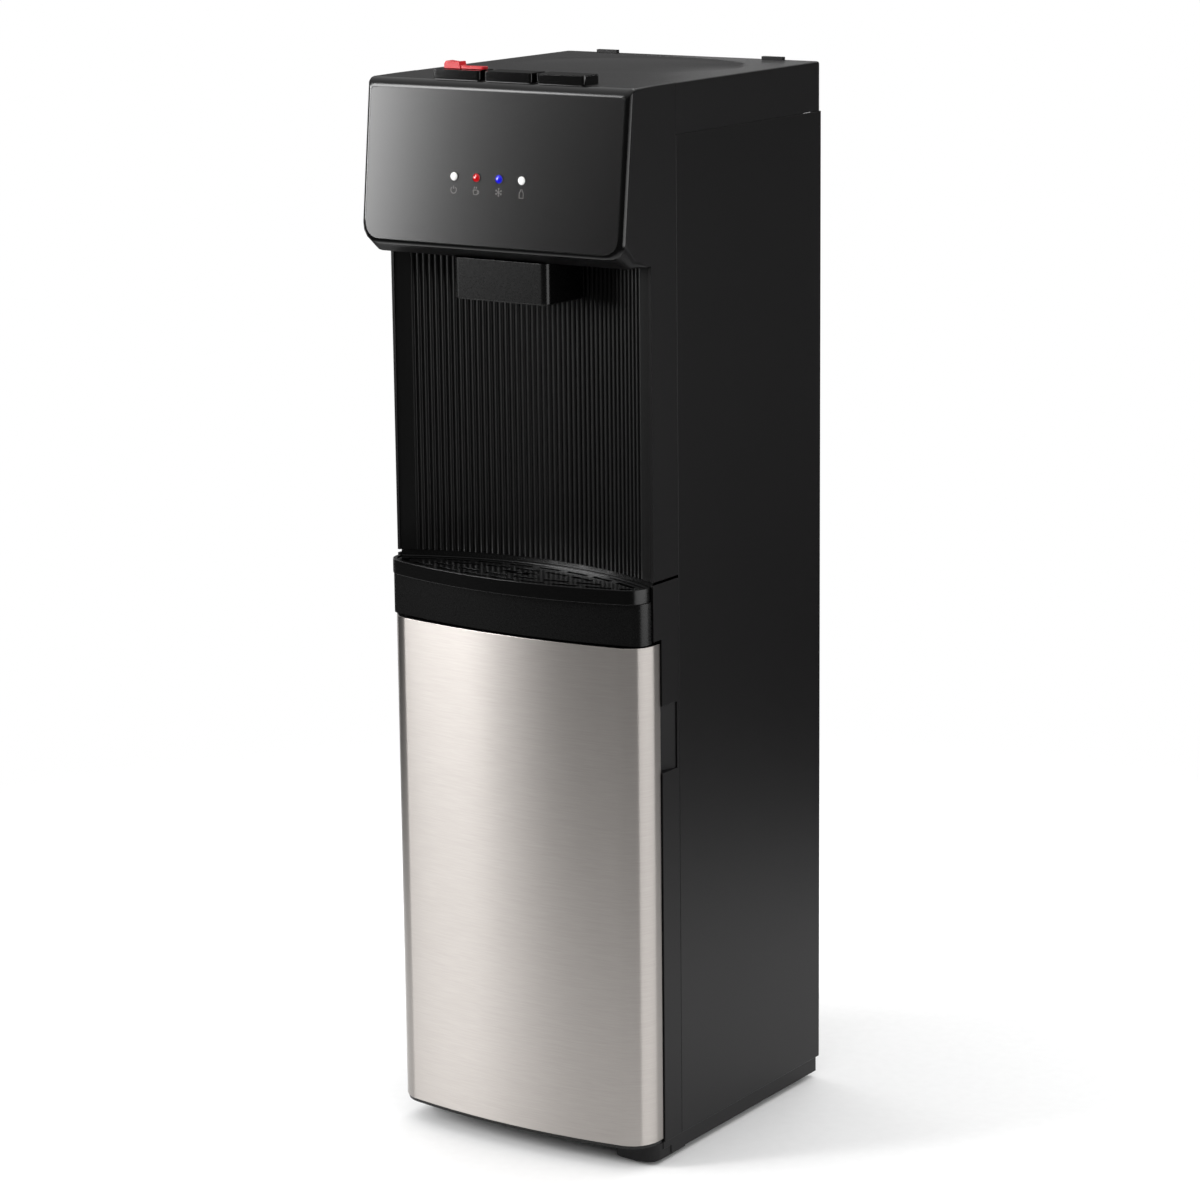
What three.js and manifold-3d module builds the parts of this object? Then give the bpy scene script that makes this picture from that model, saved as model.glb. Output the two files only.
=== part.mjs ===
// Bottom load water cooler: a tall cabinet with a slanted control head, a fluted dispensing
// alcove, a lift-out drip tray and a bowed steel door over the bottle bay.
// Millimetres, +Z up, the front faces -Y, and the origin is on the floor under the middle.
// Inside the groups, y counts from the seam between the front mouldings and the cabinet.

import * as THREE from "three";
import { mergeVertices } from "three/addons/utils/BufferGeometryUtils.js";
import Module from "manifold-3d";

const wasm = await Module();
wasm.setup();

// ---- Driving dimensions ----

// Cabinet
const cabinetWidth = 300;
const cabinetDepth = 265; // seam to the back edge
const deckHeight = 1050; // floor to the control deck
const panelBottom = 22;
const skirtHeight = 48;
const steel = 1.2;
const flange = 12;
const backPanelInset = 26;

// Clearances
const seat = 0.3; // between pieces that rest on, or are cut by, each other
const doorGap = 1.5;
const frameGap = 3; // between the upper and the lower front frame
const buttonPlay = 0.4;

// Head and its slanted fascia
const headReach = 92.5; // lower edge of the fascia, ahead of the seam
const headReachTop = 75.5; // the fascia's plane at deck level
const fasciaDrop = 157; // deck to the fascia's lower edge
const headDrop = 166; // deck to the alcove's ceiling
const chinRun = 17; // depth over which the chin falls away
const headWall = 3;
const edgeRound = 5;
const deckRound = 8;
const lowerCorner = 20;
const upperCorner = 4;
const fasciaThickness = 2.5;
const fasciaMargin = 5.5;
const fasciaTopMargin = 9;
const deckTongue = 26; // how far the deck bows back over the rear cover

// Indicators
const indicatorPitch = 25.8;
const indicatorDrop = 88.5;
const indicatorOffset = -4; // the row's middle, from the centre line
const lensRadius = 3.6;
const indicatorCount = 4;

// Buttons and the child lock
const buttonWidth = 54.5;
const buttonDepth = 26;
const buttonPitch = 59;
const buttonRise = 9;
const buttonTravel = 5;
const buttonAhead = 66; // front of the buttons
const buttonOffset = 6.5; // the row's middle, right of the centre line
const lockTravel = 5;
const lockDepth = 11;

// Alcove
const frameReach = 44; // side cheeks ahead of the seam
const alcoveSill = 465.5; // deck to the upper frame's lower edge
const alcoveHollow = 36.6; // how far the wall's middle lies behind its sides
const alcoveDepth = 8; // deepest point of the wall, ahead of the seam
const flutePitch = 6;
const fluteMargin = 12; // plain strip at each side of the wall
const fluteWidth = 3.2;
const fluteDepth = 1.8;
const linerWall = 2.2;

// Spout
const spoutWidth = 108;
const spoutDrop = 40;
const spoutReach = 75;
const spoutCorner = 7;
const nozzleAhead = 60;
const nozzleRadius = 9;

// Tray
const trayDrop = 470; // deck to the tray's rim
const rimHeight = 14;
const trayReach = 90;
const trayCornerAhead = 48.5;
const trayCorner = 23;
const traySideGap = 3; // each side of the rim, to the cabinet's side
const trayDepth = 40;
const grilleThickness = 4;
const slotWidth = 5.5;
const slotRowPitch = 13;
const fingerHole = 4;

// Tray housing: the dark band above the door
const bandHeight = 55; // from the tray's rim down
const bandReach = 77.5;
const bandCornerAhead = 49;
const bandCorner = 14;
const bandSideGap = 2;
const shelfThickness = 6;

// Door
const doorHeadroom = 2; // under the band
const shelfHeadroom = 4; // under the shelf that the upper pin hangs from
const doorReach = 79.5;
const doorCornerAhead = 40;
const doorCorner = 29.5;
const doorSideGap = 1.4;
const doorSkin = 1.2;
const doorRear = 31.5; // rear face of the door, ahead of the seam
const doorLip = 3.5; // plastic edge under the steel
const doorShell = 9; // thickness of the door behind its steel
const doorBorder = 22;
const hingeInset = 8; // hinge axis from the door's side and from its rear face
const hingeRadius = 3;
const stripWidth = 12;

// Finger pull in the right-hand frame strip
const pullDrop = 62; // below the door's upper edge
const pullHeight = 66;
const pullLength = 26;
const pullDepth = 9;

// Base
const lugInset = 3; // from the cabinet's side
const lugWidth = 49; // right-hand lug
const lugReach = 48;
const leftLugWidth = 30;
const leftLugReach = 24;
const tongueWidth = 20; // carries the lower hinge pin
const lugBottom = 4;
const railBottom = 6;
const footRadius = 14;

// ---- Derived places ----

const halfWidth = cabinetWidth / 2;
const lugOuter = halfWidth - lugInset;
const lean = Math.atan((headReach - headReachTop) / fasciaDrop);
const foremost = headReach - edgeRound * Math.sin(lean);
const seamY = (foremost - cabinetDepth) / 2;
const ceilingHeight = deckHeight - headDrop;
const sillHeight = deckHeight - alcoveSill;
const trayTop = deckHeight - trayDrop;
const bandBottom = trayTop - bandHeight;
const doorTop = bandBottom - doorHeadroom;
const shelfBottom = doorTop + shelfHeadroom;
const pullTop = doorTop - pullDrop;
const doorHalf = halfWidth - doorSideGap;
const backPanelY = cabinetDepth - backPanelInset;
const skirtBottom = deckHeight - skirtHeight;
const hingeX = -doorHalf + hingeInset;
const hingeAhead = doorRear + hingeInset; // the door turns clear of the frame
const flutedRadius = (halfWidth ** 2 + alcoveHollow ** 2) / (2 * alcoveHollow);
const alcoveCentreY = -alcoveDepth - flutedRadius;
const fluteCount = 2 * Math.floor((halfWidth - fluteMargin) / flutePitch);

// ---- Finishes ----

const finishes = {
  blackMoulding: { color: 0x1d1c1d, roughness: 0.42, metalness: 0 },
  blackSteel: { color: 0x262527, roughness: 0.5, metalness: 0.1 },
  glossBlack: { color: 0x2b2a2a, roughness: 0.18, metalness: 0 },
  deepBlack: { color: 0x101011, roughness: 0.45, metalness: 0 },
  brushedSteel: { color: 0xb9b3ae, roughness: 0.32, metalness: 1 },
  plainSteel: { color: 0xa9abad, roughness: 0.4, metalness: 1 },
  redPlastic: { color: 0xe0303a, roughness: 0.3, metalness: 0 },
  clearLens: { color: 0xf2f2f0, roughness: 0.12, metalness: 0 },
  redLens: { color: 0xc8141c, roughness: 0.12, metalness: 0 },
  blueLens: { color: 0x1818d8, roughness: 0.12, metalness: 0 },
  rubber: { color: 0x151515, roughness: 0.8, metalness: 0 },
  foam: { color: 0xe4e1d6, roughness: 0.9, metalness: 0 },
  circuitBoard: { color: 0x1f5a38, roughness: 0.5, metalness: 0 },
  silicone: { color: 0xdfe3e6, roughness: 0.35, metalness: 0 },
  copper: { color: 0xb8734a, roughness: 0.35, metalness: 1 },
  greyPlastic: { color: 0xc9cbcc, roughness: 0.5, metalness: 0 },
  greenPlastic: { color: 0x1f8a4a, roughness: 0.35, metalness: 0 },
};

// ---- Solids ----

// A closed geometry as a solid that can be joined and cut.
function solidOf(geometry) {
  const bare = geometry.clone();
  bare.deleteAttribute("normal");
  bare.deleteAttribute("uv");
  const merged = mergeVertices(bare, 1e-4);
  return new wasm.Manifold(
    new wasm.Mesh({
      numProp: 3,
      vertProperties: new Float32Array(merged.attributes.position.array),
      triVerts: new Uint32Array(merged.index.array),
    }),
  );
}

function joined(...solids) {
  return solids.reduce((whole, piece) => whole.add(piece));
}

// A solid as a named mesh with a material of its own.
function part(name, solid, finish) {
  const cut = solid.getMesh();
  const geometry = new THREE.BufferGeometry();
  geometry.setAttribute("position", new THREE.BufferAttribute(cut.vertProperties, 3));
  geometry.setIndex(new THREE.BufferAttribute(cut.triVerts, 1));
  const faceted = geometry.toNonIndexed();
  faceted.computeVertexNormals();
  const mesh = new THREE.Mesh(faceted, new THREE.MeshStandardMaterial(finishes[finish]));
  mesh.name = name;
  return mesh;
}

function block(x0, x1, y0, y1, z0, z1) {
  const geometry = new THREE.BoxGeometry(x1 - x0, y1 - y0, z1 - z0);
  geometry.translate((x0 + x1) / 2, (y0 + y1) / 2, (z0 + z1) / 2);
  return solidOf(geometry);
}

// A plan outline raised from one height to another.
function upright(outline, bottom, top, holes = []) {
  const shape = new THREE.Shape(outline);
  for (const hole of holes) shape.holes.push(new THREE.Path(hole));
  const geometry = new THREE.ExtrudeGeometry(shape, {
    depth: top - bottom,
    bevelEnabled: false,
  });
  geometry.translate(0, 0, bottom);
  return solidOf(geometry);
}

// A side view, drawn as (y, z), carried across from one x to another.
function crosswise(outline, x0, x1) {
  const geometry = new THREE.ExtrudeGeometry(new THREE.Shape(outline), {
    depth: x1 - x0,
    bevelEnabled: false,
  });
  geometry.applyMatrix4(
    new THREE.Matrix4().makeBasis(
      new THREE.Vector3(0, 1, 0),
      new THREE.Vector3(0, 0, 1),
      new THREE.Vector3(1, 0, 0),
    ),
  );
  geometry.translate(x0, 0, 0);
  return solidOf(geometry);
}

// A front view, drawn as (x, z), carried from one y back to another.
function backward(outline, y0, y1) {
  const geometry = new THREE.ExtrudeGeometry(new THREE.Shape(outline), {
    depth: y1 - y0,
    bevelEnabled: false,
  });
  geometry.rotateX(Math.PI / 2);
  geometry.translate(0, y1, 0);
  return solidOf(geometry);
}

// A round rod standing at (x, y).
function rod(x, y, radius, bottom, top, sides = 16) {
  const geometry = new THREE.CylinderGeometry(radius, radius, top - bottom, sides);
  geometry.rotateX(Math.PI / 2);
  geometry.translate(x, y, (bottom + top) / 2);
  return solidOf(geometry);
}

// A turned piece standing at (x, y), from its profile of (radius, height) points.
function turned(x, y, profile, sides = 16) {
  const points = profile.map(([radius, height]) => new THREE.Vector2(radius, height));
  const geometry = new THREE.LatheGeometry(points, sides);
  geometry.rotateX(Math.PI / 2);
  geometry.translate(x, y, 0);
  return solidOf(geometry);
}

// A turned piece whose axis runs front to back, from (radius, y) points.
function turnedBackward(x, z, profile, sides = 16) {
  const points = profile.map(([radius, y]) => new THREE.Vector2(radius, y));
  const geometry = new THREE.LatheGeometry(points, sides);
  geometry.translate(x, 0, z);
  return solidOf(geometry);
}

// Sections with as many points each, skinned in order and closed at both ends.
function loft(sections) {
  const around = sections[0].length;
  const positions = [];
  const triangles = [];
  for (const section of sections) for (const p of section) positions.push(p.x, p.y, p.z);
  for (let s = 0; s < sections.length - 1; s++) {
    for (let i = 0; i < around; i++) {
      const a = s * around + i;
      const b = s * around + ((i + 1) % around);
      triangles.push(a, b, b + around, a, b + around, a + around);
    }
  }
  for (const [section, start, facing] of [
    [sections[0], 0, -1],
    [sections[sections.length - 1], (sections.length - 1) * around, 1],
  ]) {
    const middle = new THREE.Vector3();
    for (const p of section) middle.addScaledVector(p, 1 / around);
    const centre = positions.length / 3;
    positions.push(middle.x, middle.y, middle.z);
    for (let i = 0; i < around; i++) {
      const a = start + i;
      const b = start + ((i + 1) % around);
      if (facing > 0) triangles.push(centre, a, b);
      else triangles.push(centre, b, a);
    }
  }
  const geometry = new THREE.BufferGeometry();
  geometry.setAttribute("position", new THREE.Float32BufferAttribute(positions, 3));
  geometry.setIndex(triangles);
  return solidOf(geometry);
}

// ---- Outlines ----

function arc(cx, cy, radius, from, to, steps) {
  const points = [];
  for (let i = 0; i <= steps; i++) {
    const angle = from + ((to - from) * i) / steps;
    points.push(new THREE.Vector2(cx + radius * Math.cos(angle), cy + radius * Math.sin(angle)));
  }
  return points;
}

// A rectangle with its own radius at each lower and upper corner, anticlockwise.
function roundedRectangle(x0, x1, y0, y1, lowerRadius, upperRadius = lowerRadius, steps = 3) {
  const quarter = Math.PI / 2;
  return [
    ...arc(x0 + lowerRadius, y0 + lowerRadius, lowerRadius, 2 * quarter, 3 * quarter, steps),
    ...arc(x1 - lowerRadius, y0 + lowerRadius, lowerRadius, 3 * quarter, 4 * quarter, steps),
    ...arc(x1 - upperRadius, y1 - upperRadius, upperRadius, 0, quarter, steps),
    ...arc(x0 + upperRadius, y1 - upperRadius, upperRadius, quarter, 2 * quarter, steps),
  ];
}

// A bowed front seen from above, from its left side round to its right side: a wide arc through
// the foremost point, and a corner arc at each side whose centre lies cornerAhead of the seam.
function bowedFront(half, reach, cornerAhead, cornerRadius, sideEnd) {
  const across = half - cornerRadius;
  const bow = reach - cornerAhead;
  const radius = (bow ** 2 + across ** 2 - cornerRadius ** 2) / (2 * (bow - cornerRadius));
  const centreY = radius - reach;
  const turn = Math.atan2(-cornerAhead - centreY, across);
  return [
    new THREE.Vector2(-half, -sideEnd),
    ...arc(-across, -cornerAhead, cornerRadius, -Math.PI, -Math.PI - turn, 6),
    ...arc(0, centreY, radius, -Math.PI - turn, turn, 10).slice(1, -1),
    ...arc(across, -cornerAhead, cornerRadius, turn, 0, 6),
    new THREE.Vector2(half, -sideEnd),
  ];
}

// Height of a hollow alcove arc of this radius at x, in plan.
function alcoveY(radius, x) {
  return alcoveCentreY + Math.sqrt(radius ** 2 - x ** 2);
}

// Part of an arc about the alcove's centre, from one x to another.
function alcoveArc(radius, fromX, toX, steps) {
  const from = Math.PI / 2 - Math.asin(fromX / radius);
  const to = Math.PI / 2 - Math.asin(toX / radius);
  return arc(0, alcoveCentreY, radius, from, to, steps);
}

// ---- Head: upper front frame with its slanted fascia ----

// Where a section of the head lies, at this depth behind the fascia's plane. Sections are parallel
// to the fascia; x runs across, the outline's second value runs up the slope.
function headPlace(x, up, depth) {
  return new THREE.Vector3(
    x,
    -headReach + up * Math.sin(lean) + depth * Math.cos(lean),
    -fasciaDrop + up * Math.cos(lean) - depth * Math.sin(lean),
  );
}

// How far up the slope a height below the deck lies, at this depth.
function upSlope(height, depth) {
  return (height + fasciaDrop + depth * Math.sin(lean)) / Math.cos(lean);
}

// How far a rounded front edge still falls short of its full size at this depth.
function roundedOff(radius, depth) {
  if (depth >= radius) return 0;
  return radius - Math.sqrt(radius ** 2 - (radius - depth) ** 2);
}

// The head's form, or the space inside it when it is drawn in by a wall.
function headForm(inset, depths) {
  const sections = depths.map((depth) => {
    const shown = depth - inset;
    const edge = roundedOff(edgeRound - inset, shown);
    const half = halfWidth - inset - edge;
    const top = -inset - roundedOff(deckRound - inset, shown);
    const fall = Math.min(Math.max((shown - edgeRound) / chinRun, 0), 1);
    const bottom = -fasciaDrop + edge + inset - fall * (headDrop - fasciaDrop);
    const blend = Math.min(shown / frameReach, 1);
    const low = Math.max(lowerCorner * (1 - blend) + blend - inset, 0.5);
    const outline = roundedRectangle(
      -half,
      half,
      upSlope(bottom, depth),
      upSlope(top, depth),
      low,
      Math.max(upperCorner * (1 - blend) + blend - inset, 0.5),
      4,
    );
    return outline.map((p) => headPlace(p.x, p.y, depth));
  });
  return loft(sections.map((section) => section.reverse()));
}

function fasciaOutline(gap) {
  return roundedRectangle(
    -halfWidth + fasciaMargin + gap,
    halfWidth - fasciaMargin - gap,
    fasciaMargin + gap,
    upSlope(-fasciaTopMargin, 0) - gap,
    lowerCorner - fasciaMargin,
    upperCorner,
    6,
  );
}

function indicatorX(index) {
  return indicatorOffset + (index - (indicatorCount - 1) / 2) * indicatorPitch;
}

// A plan outline in the fascia's own frame as a solid in the head's frame.
function onSlope(solid) {
  const toHead = new THREE.Matrix4()
    .makeRotationX(Math.PI / 2 - lean)
    .setPosition(0, -headReach, -fasciaDrop);
  return solid.transform(toHead.elements);
}

function buttonX(index) {
  return buttonOffset + (index - 1) * buttonPitch;
}

function buttonOutline(index, grow) {
  return roundedRectangle(
    buttonX(index) - buttonWidth / 2 - grow,
    buttonX(index) + buttonWidth / 2 + grow,
    -buttonAhead - grow,
    -buttonAhead + buttonDepth + grow,
    3 + grow,
  );
}

// The deck's bowed rear edge, from its right end round to its left.
function tongueOutline(gap) {
  const radius = (halfWidth ** 2 + deckTongue ** 2) / (2 * deckTongue);
  const half = Math.asin(halfWidth / radius);
  return arc(0, deckTongue - radius, radius + gap, Math.PI / 2 - half, Math.PI / 2 + half, 20);
}

const lensUp = upSlope(-indicatorDrop, 0);
const boardDrop = 24; // the button switches' board, below the deck
const boardLeft = buttonX(0) - buttonWidth / 2 - 9;
const boardRight = buttonX(2) + buttonWidth / 2 + 9;
const boardFront = -buttonAhead - 2;
const boardBack = -buttonAhead + buttonDepth + 2;
const postRadius = 2.5;

function upperFrontFrame() {
  const depths = [0, 0.67, 2.5, edgeRound, deckRound, 13, edgeRound + chinRun, frameReach, 110];
  const innerDepths = [headWall + fasciaThickness, 8, 16, 25, 47, 113];
  const cutBack = block(-cabinetWidth, cabinetWidth, -0.15, 80, -300, 60);
  let head = headForm(0, depths).subtract(headForm(headWall, innerDepths)).subtract(cutBack);

  const recess = upright(fasciaOutline(0), -fasciaThickness - seat, 5);
  head = head.subtract(onSlope(recess));
  for (let i = 0; i < indicatorCount; i++) {
    const bore = rod(indicatorX(i), lensUp, lensRadius + seat, -20, 5, 12);
    head = head.subtract(onSlope(bore));
  }

  // The deck bows back over the seam.
  const deckPlate = upright(
    [
      ...tongueOutline(0),
      new THREE.Vector2(-halfWidth + 8, -2),
      new THREE.Vector2(halfWidth - 8, -2),
    ],
    -headWall,
    0,
  );
  head = head.add(deckPlate.subtract(block(-halfWidth, halfWidth, -10, -2, -50, 10)));
  for (let i = 0; i < 3; i++) {
    head = head.subtract(upright(buttonOutline(i, buttonPlay), -headWall - 5, 5));
  }

  // Posts that carry the switch board.
  for (const x of [boardLeft + 4, boardRight - 4]) {
    for (const y of [boardFront + 5, boardBack - 4]) {
      head = head.add(rod(x, y, postRadius, -boardDrop + seat, -headWall + 0.5, 10));
    }
  }

  // Opening in the ceiling under the spout's housing.
  const half = spoutWidth / 2 - 12;
  head = head.subtract(block(-half, half, -spoutReach + 4, -24, -headDrop - 5, -headDrop + 8));

  // Side cheeks, tied by a web behind the alcove wall.
  const web = block(-halfWidth + 1, halfWidth - 1, -headWall, -0.15, -alcoveSill, -headDrop + 1)
    .subtract(
      block(-halfWidth + 24, halfWidth - 24, -20, 20, -alcoveSill + 24, -headDrop - 30),
    );
  for (const side of [-1, 1]) {
    const outer = side * halfWidth;
    const inner = side * (halfWidth - headWall);
    head = head.add(
      block(
        Math.min(outer, inner),
        Math.max(outer, inner),
        -frameReach,
        -0.15,
        -alcoveSill,
        -headDrop + 2,
      ),
    );
  }
  return head.add(web);
}

function fasciaPanel() {
  let panel = upright(fasciaOutline(seat), -fasciaThickness, 0);
  for (let i = 0; i < indicatorCount; i++) {
    panel = panel.subtract(rod(indicatorX(i), lensUp, lensRadius + seat, -20, 5, 12));
  }
  return panel;
}

// The board stands on the head's front wall, with one lamp behind each lens.
function indicatorBoard() {
  const back = -fasciaThickness - headWall - seat;
  let board = upright(
    roundedRectangle(-55, 55, lensUp - 12, lensUp + 12, 3),
    back - 1.6,
    back,
  );
  for (let i = 0; i < indicatorCount; i++) {
    board = board.add(rod(indicatorX(i), lensUp, 2.4, back - 0.5, back + 1.2, 12));
  }
  return board;
}

const lensBack = -fasciaThickness - headWall + 1.4;

function lens(index) {
  return turned(
    indicatorX(index),
    lensUp,
    [
      [0, lensBack],
      [lensRadius, lensBack],
      [lensRadius, -1.4],
      [lensRadius * 0.8, -0.7],
      [0, -0.3],
    ],
    12,
  );
}

function pushButton(index) {
  const body = upright(buttonOutline(index, 0), -12, buttonRise - 0.8);
  const crown = upright(buttonOutline(index, -0.8), buttonRise - 0.8, buttonRise);
  const stop = upright(buttonOutline(index, 1.2), -headWall - 2 - seat, -headWall - seat);
  return joined(body, crown, stop);
}

const lockY = -buttonAhead + buttonDepth / 2 + 1;
const lockLeft = buttonX(0) - buttonWidth / 2 + 7.5;
const lockStep = lockLeft + 19;
const lockRight = buttonX(0) + buttonWidth / 2 - 1.5;
const keyLeft = lockLeft + 4;
const keyRight = lockStep + 8;
const keyHalf = 1.7;

function hotButton() {
  const slot = block(
    keyLeft - lockTravel - 1,
    keyRight + 1,
    lockY - keyHalf - seat,
    lockY + keyHalf + seat,
    buttonRise - 3,
    buttonRise + 2,
  );
  return pushButton(0).subtract(slot);
}

// A wedge for the finger, a flat tongue beside it, and a key in the button's slot.
function childLock() {
  const bottom = buttonRise + seat;
  const wedge = backward(
    [
      new THREE.Vector2(lockLeft, bottom),
      new THREE.Vector2(lockStep, bottom),
      new THREE.Vector2(lockStep - 1.5, bottom + 6.8),
      new THREE.Vector2(lockStep - 8, bottom + 6.2),
      new THREE.Vector2(lockLeft + 2, bottom + 7),
      new THREE.Vector2(lockLeft, bottom + 4),
    ],
    lockY - lockDepth / 2,
    lockY + lockDepth / 2,
  );
  const tongue = upright(
    roundedRectangle(
      lockStep - 3,
      lockRight,
      lockY - lockDepth / 2 + 1,
      lockY + lockDepth / 2 - 1,
      3.5,
    ),
    bottom,
    bottom + 2.6,
  );
  const key = block(keyLeft, keyRight, lockY - keyHalf, lockY + keyHalf, bottom - 2.5, bottom + 1);
  return joined(wedge, tongue, key);
}

function buttonSwitchBoard() {
  let board = block(
    boardLeft,
    boardRight,
    boardFront,
    boardBack,
    -boardDrop - 1.6,
    -boardDrop,
  );
  for (let i = 0; i < 3; i++) {
    const x = buttonX(i);
    const y = -buttonAhead + buttonDepth / 2;
    board = board.add(block(x - 10, x + 10, y - 6, y + 6, -boardDrop - 0.5, -boardDrop + 4.5));
    board = board.add(rod(x, y, 2, -boardDrop + 4, -12 - buttonTravel - seat, 10));
  }
  return board;
}

// ---- Spout ----

function spoutHousing() {
  const top = -headDrop - seat;
  const bottom = -headDrop - spoutDrop;
  const rear = alcoveY(flutedRadius, spoutWidth / 2) - seat - 0.3;
  const outline = (inset) =>
    roundedRectangle(
      -spoutWidth / 2 + inset,
      spoutWidth / 2 - inset,
      -spoutReach + inset,
      rear - inset,
      spoutCorner - inset,
      2.2 - inset / 2,
    );
  const shell = joined(
    upright(outline(0), bottom + 1, top),
    upright(outline(1), bottom, bottom + 1),
  );
  return shell
    .subtract(upright(outline(2.4), bottom + 3, top + 1))
    .subtract(rod(0, -nozzleAhead, nozzleRadius + seat, bottom - 1, bottom + 5));
}

// A funnel with a stepped outlet, open from end to end.
function waterNozzle() {
  const bottom = -headDrop - spoutDrop + 0.6;
  const top = -headDrop + 12;
  return turned(
    0,
    -nozzleAhead,
    [
      [nozzleRadius - 1.6, bottom],
      [nozzleRadius, bottom],
      [nozzleRadius, bottom + 3.4],
      [nozzleRadius + 2, bottom + 3.4],
      [nozzleRadius + 2, bottom + 6],
      [nozzleRadius, bottom + 8],
      [nozzleRadius, top],
      [nozzleRadius - 1.6, top],
      [nozzleRadius - 1.6, bottom],
    ],
    16,
  );
}

// ---- Alcove wall ----

// Upright flutes at an even pitch along a hollow arc, with a plain margin at each side.
function alcoveLiner() {
  const end = halfWidth - headWall - seat;
  const endAngle = Math.asin(end / flutedRadius);
  const floor = flutedRadius + fluteDepth;
  const place = (radius, angle) =>
    new THREE.Vector2(radius * Math.sin(angle), alcoveCentreY + radius * Math.cos(angle));
  const front = [place(flutedRadius, -endAngle)];
  const groove = flutePitch - fluteWidth;
  for (let i = 0; i < fluteCount - 1; i++) {
    const middle = ((i + 0.5 - (fluteCount - 1) / 2) * flutePitch) / flutedRadius;
    const open = groove / 2 / flutedRadius;
    const deep = (groove / 2 - 0.5) / flutedRadius;
    front.push(
      place(flutedRadius, middle - open),
      place(floor, middle - deep),
      place(floor, middle + deep),
      place(flutedRadius, middle + open),
    );
  }
  front.push(place(flutedRadius, endAngle));
  const back = alcoveArc(floor + linerWall, end, -end, 12);
  return upright([...front, ...back], -alcoveSill, -headDrop - seat);
}

// ---- Tray ----

// The tray's outline, drawn in by an inset: bowed in front, hollow behind to match the wall.
function trayOutline(inset, reach = trayReach) {
  const rearRadius = flutedRadius - 1.2 - inset;
  const rearEnd = halfWidth - headWall - 1 - inset * 1.2;
  const rearY = alcoveY(rearRadius, rearEnd);
  return [
    ...bowedFront(
      halfWidth - traySideGap - inset,
      reach - inset,
      trayCornerAhead,
      trayCorner - inset,
      Math.min(-rearY + 0.6, trayCornerAhead - 0.5),
    ),
    ...alcoveArc(rearRadius, rearEnd, -rearEnd, 12),
  ];
}

const rimBottom = trayTop - rimHeight;
const basinInset = 7;
const basinWall = 2.5;
const basinReach = bandReach + 2; // keeps the basin behind the band
const ledgeInset = 4;
const grilleBottom = trayTop - 1.2 - grilleThickness;

function dripTray() {
  const rim = upright(trayOutline(0), rimBottom, trayTop);
  const bottom = trayTop - trayDepth;
  const basin = upright(trayOutline(basinInset, basinReach), bottom, rimBottom + 1);
  const hollow = trayOutline(basinInset + basinWall, basinReach);
  return rim
    .add(basin)
    .subtract(upright(trayOutline(ledgeInset), grilleBottom - seat, trayTop + 1))
    .subtract(upright(hollow, bottom + basinWall, trayTop + 1));
}

// The grille's arcs: the bow of the tray's front, and the hollow of the alcove wall.
const slotMargin = 9;
const slotLength = 26;
const slotWeb = 8;

function bowRadius(half, reach, cornerAhead, cornerRadius) {
  const across = half - cornerRadius;
  const bow = reach - cornerAhead;
  return (bow ** 2 + across ** 2 - cornerRadius ** 2) / (2 * (bow - cornerRadius));
}

// Curved slots along one arc of the grille, broken by webs and kept where inside() allows.
function slotRow(centreY, radius, sign, offset, inside) {
  const slots = [];
  for (let k = -5; k <= 5; k++) {
    const middle = (k + offset) * (slotLength + slotWeb);
    let left = middle - slotLength / 2;
    let right = middle + slotLength / 2;
    const fits = (x) => inside(x, centreY + sign * Math.sqrt(radius ** 2 - x ** 2));
    while (left < right && !fits(left)) left += 1;
    while (right > left && !fits(right)) right -= 1;
    if (right - left < 12) continue;
    const angle = (x) => sign * Math.acos(x / radius);
    const outer = arc(0, centreY, radius + slotWidth / 2, angle(left), angle(right), 2);
    const inner = arc(0, centreY, radius - slotWidth / 2, angle(right), angle(left), 2);
    slots.push([...outer, ...inner]);
  }
  return slots;
}

// Front rows follow the bowed front and rear rows follow the hollow back. They meet at a line
// halfway between the two.
function dripGrille() {
  const bow = bowRadius(halfWidth - traySideGap, trayReach, trayCornerAhead, trayCorner);
  const bowCentreY = bow - trayReach;
  const wall = flutedRadius - 1.2;
  const front = (x) => bowCentreY - Math.sqrt((bow - slotMargin) ** 2 - x ** 2);
  const rear = (x) => alcoveY(wall - slotMargin, x);
  const middle = (x) => (front(x) + rear(x)) / 2;
  const within = (x) => Math.abs(x) < halfWidth - ledgeInset - slotMargin;
  const slots = [];
  for (let row = 0; row < 5; row++) {
    const radius = bow - slotMargin - slotWidth / 2 - row * slotRowPitch;
    const inside = (x, y) => within(x) && y < middle(x) - 2 && y > -trayReach;
    slots.push(...slotRow(bowCentreY, radius, -1, (row % 2) * 0.5, inside));
  }
  for (let row = 0; row < 6; row++) {
    const radius = wall - slotMargin - slotWidth / 2 - row * slotRowPitch;
    const inside = (x, y) => within(x) && y > middle(x) + 2;
    slots.push(...slotRow(alcoveCentreY, radius, 1, ((row + 1) % 2) * 0.5, inside));
  }
  const bottom = grilleBottom;
  const top = bottom + grilleThickness;
  let grille = upright(trayOutline(ledgeInset + 0.4), bottom, top);
  for (const slot of slots) grille = grille.subtract(upright(slot, bottom - 1, top + 1));
  return grille.subtract(
    rod(-halfWidth + 19, -trayCornerAhead - 6, fingerHole, bottom - 1, top + 1, 16),
  );
}

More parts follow.
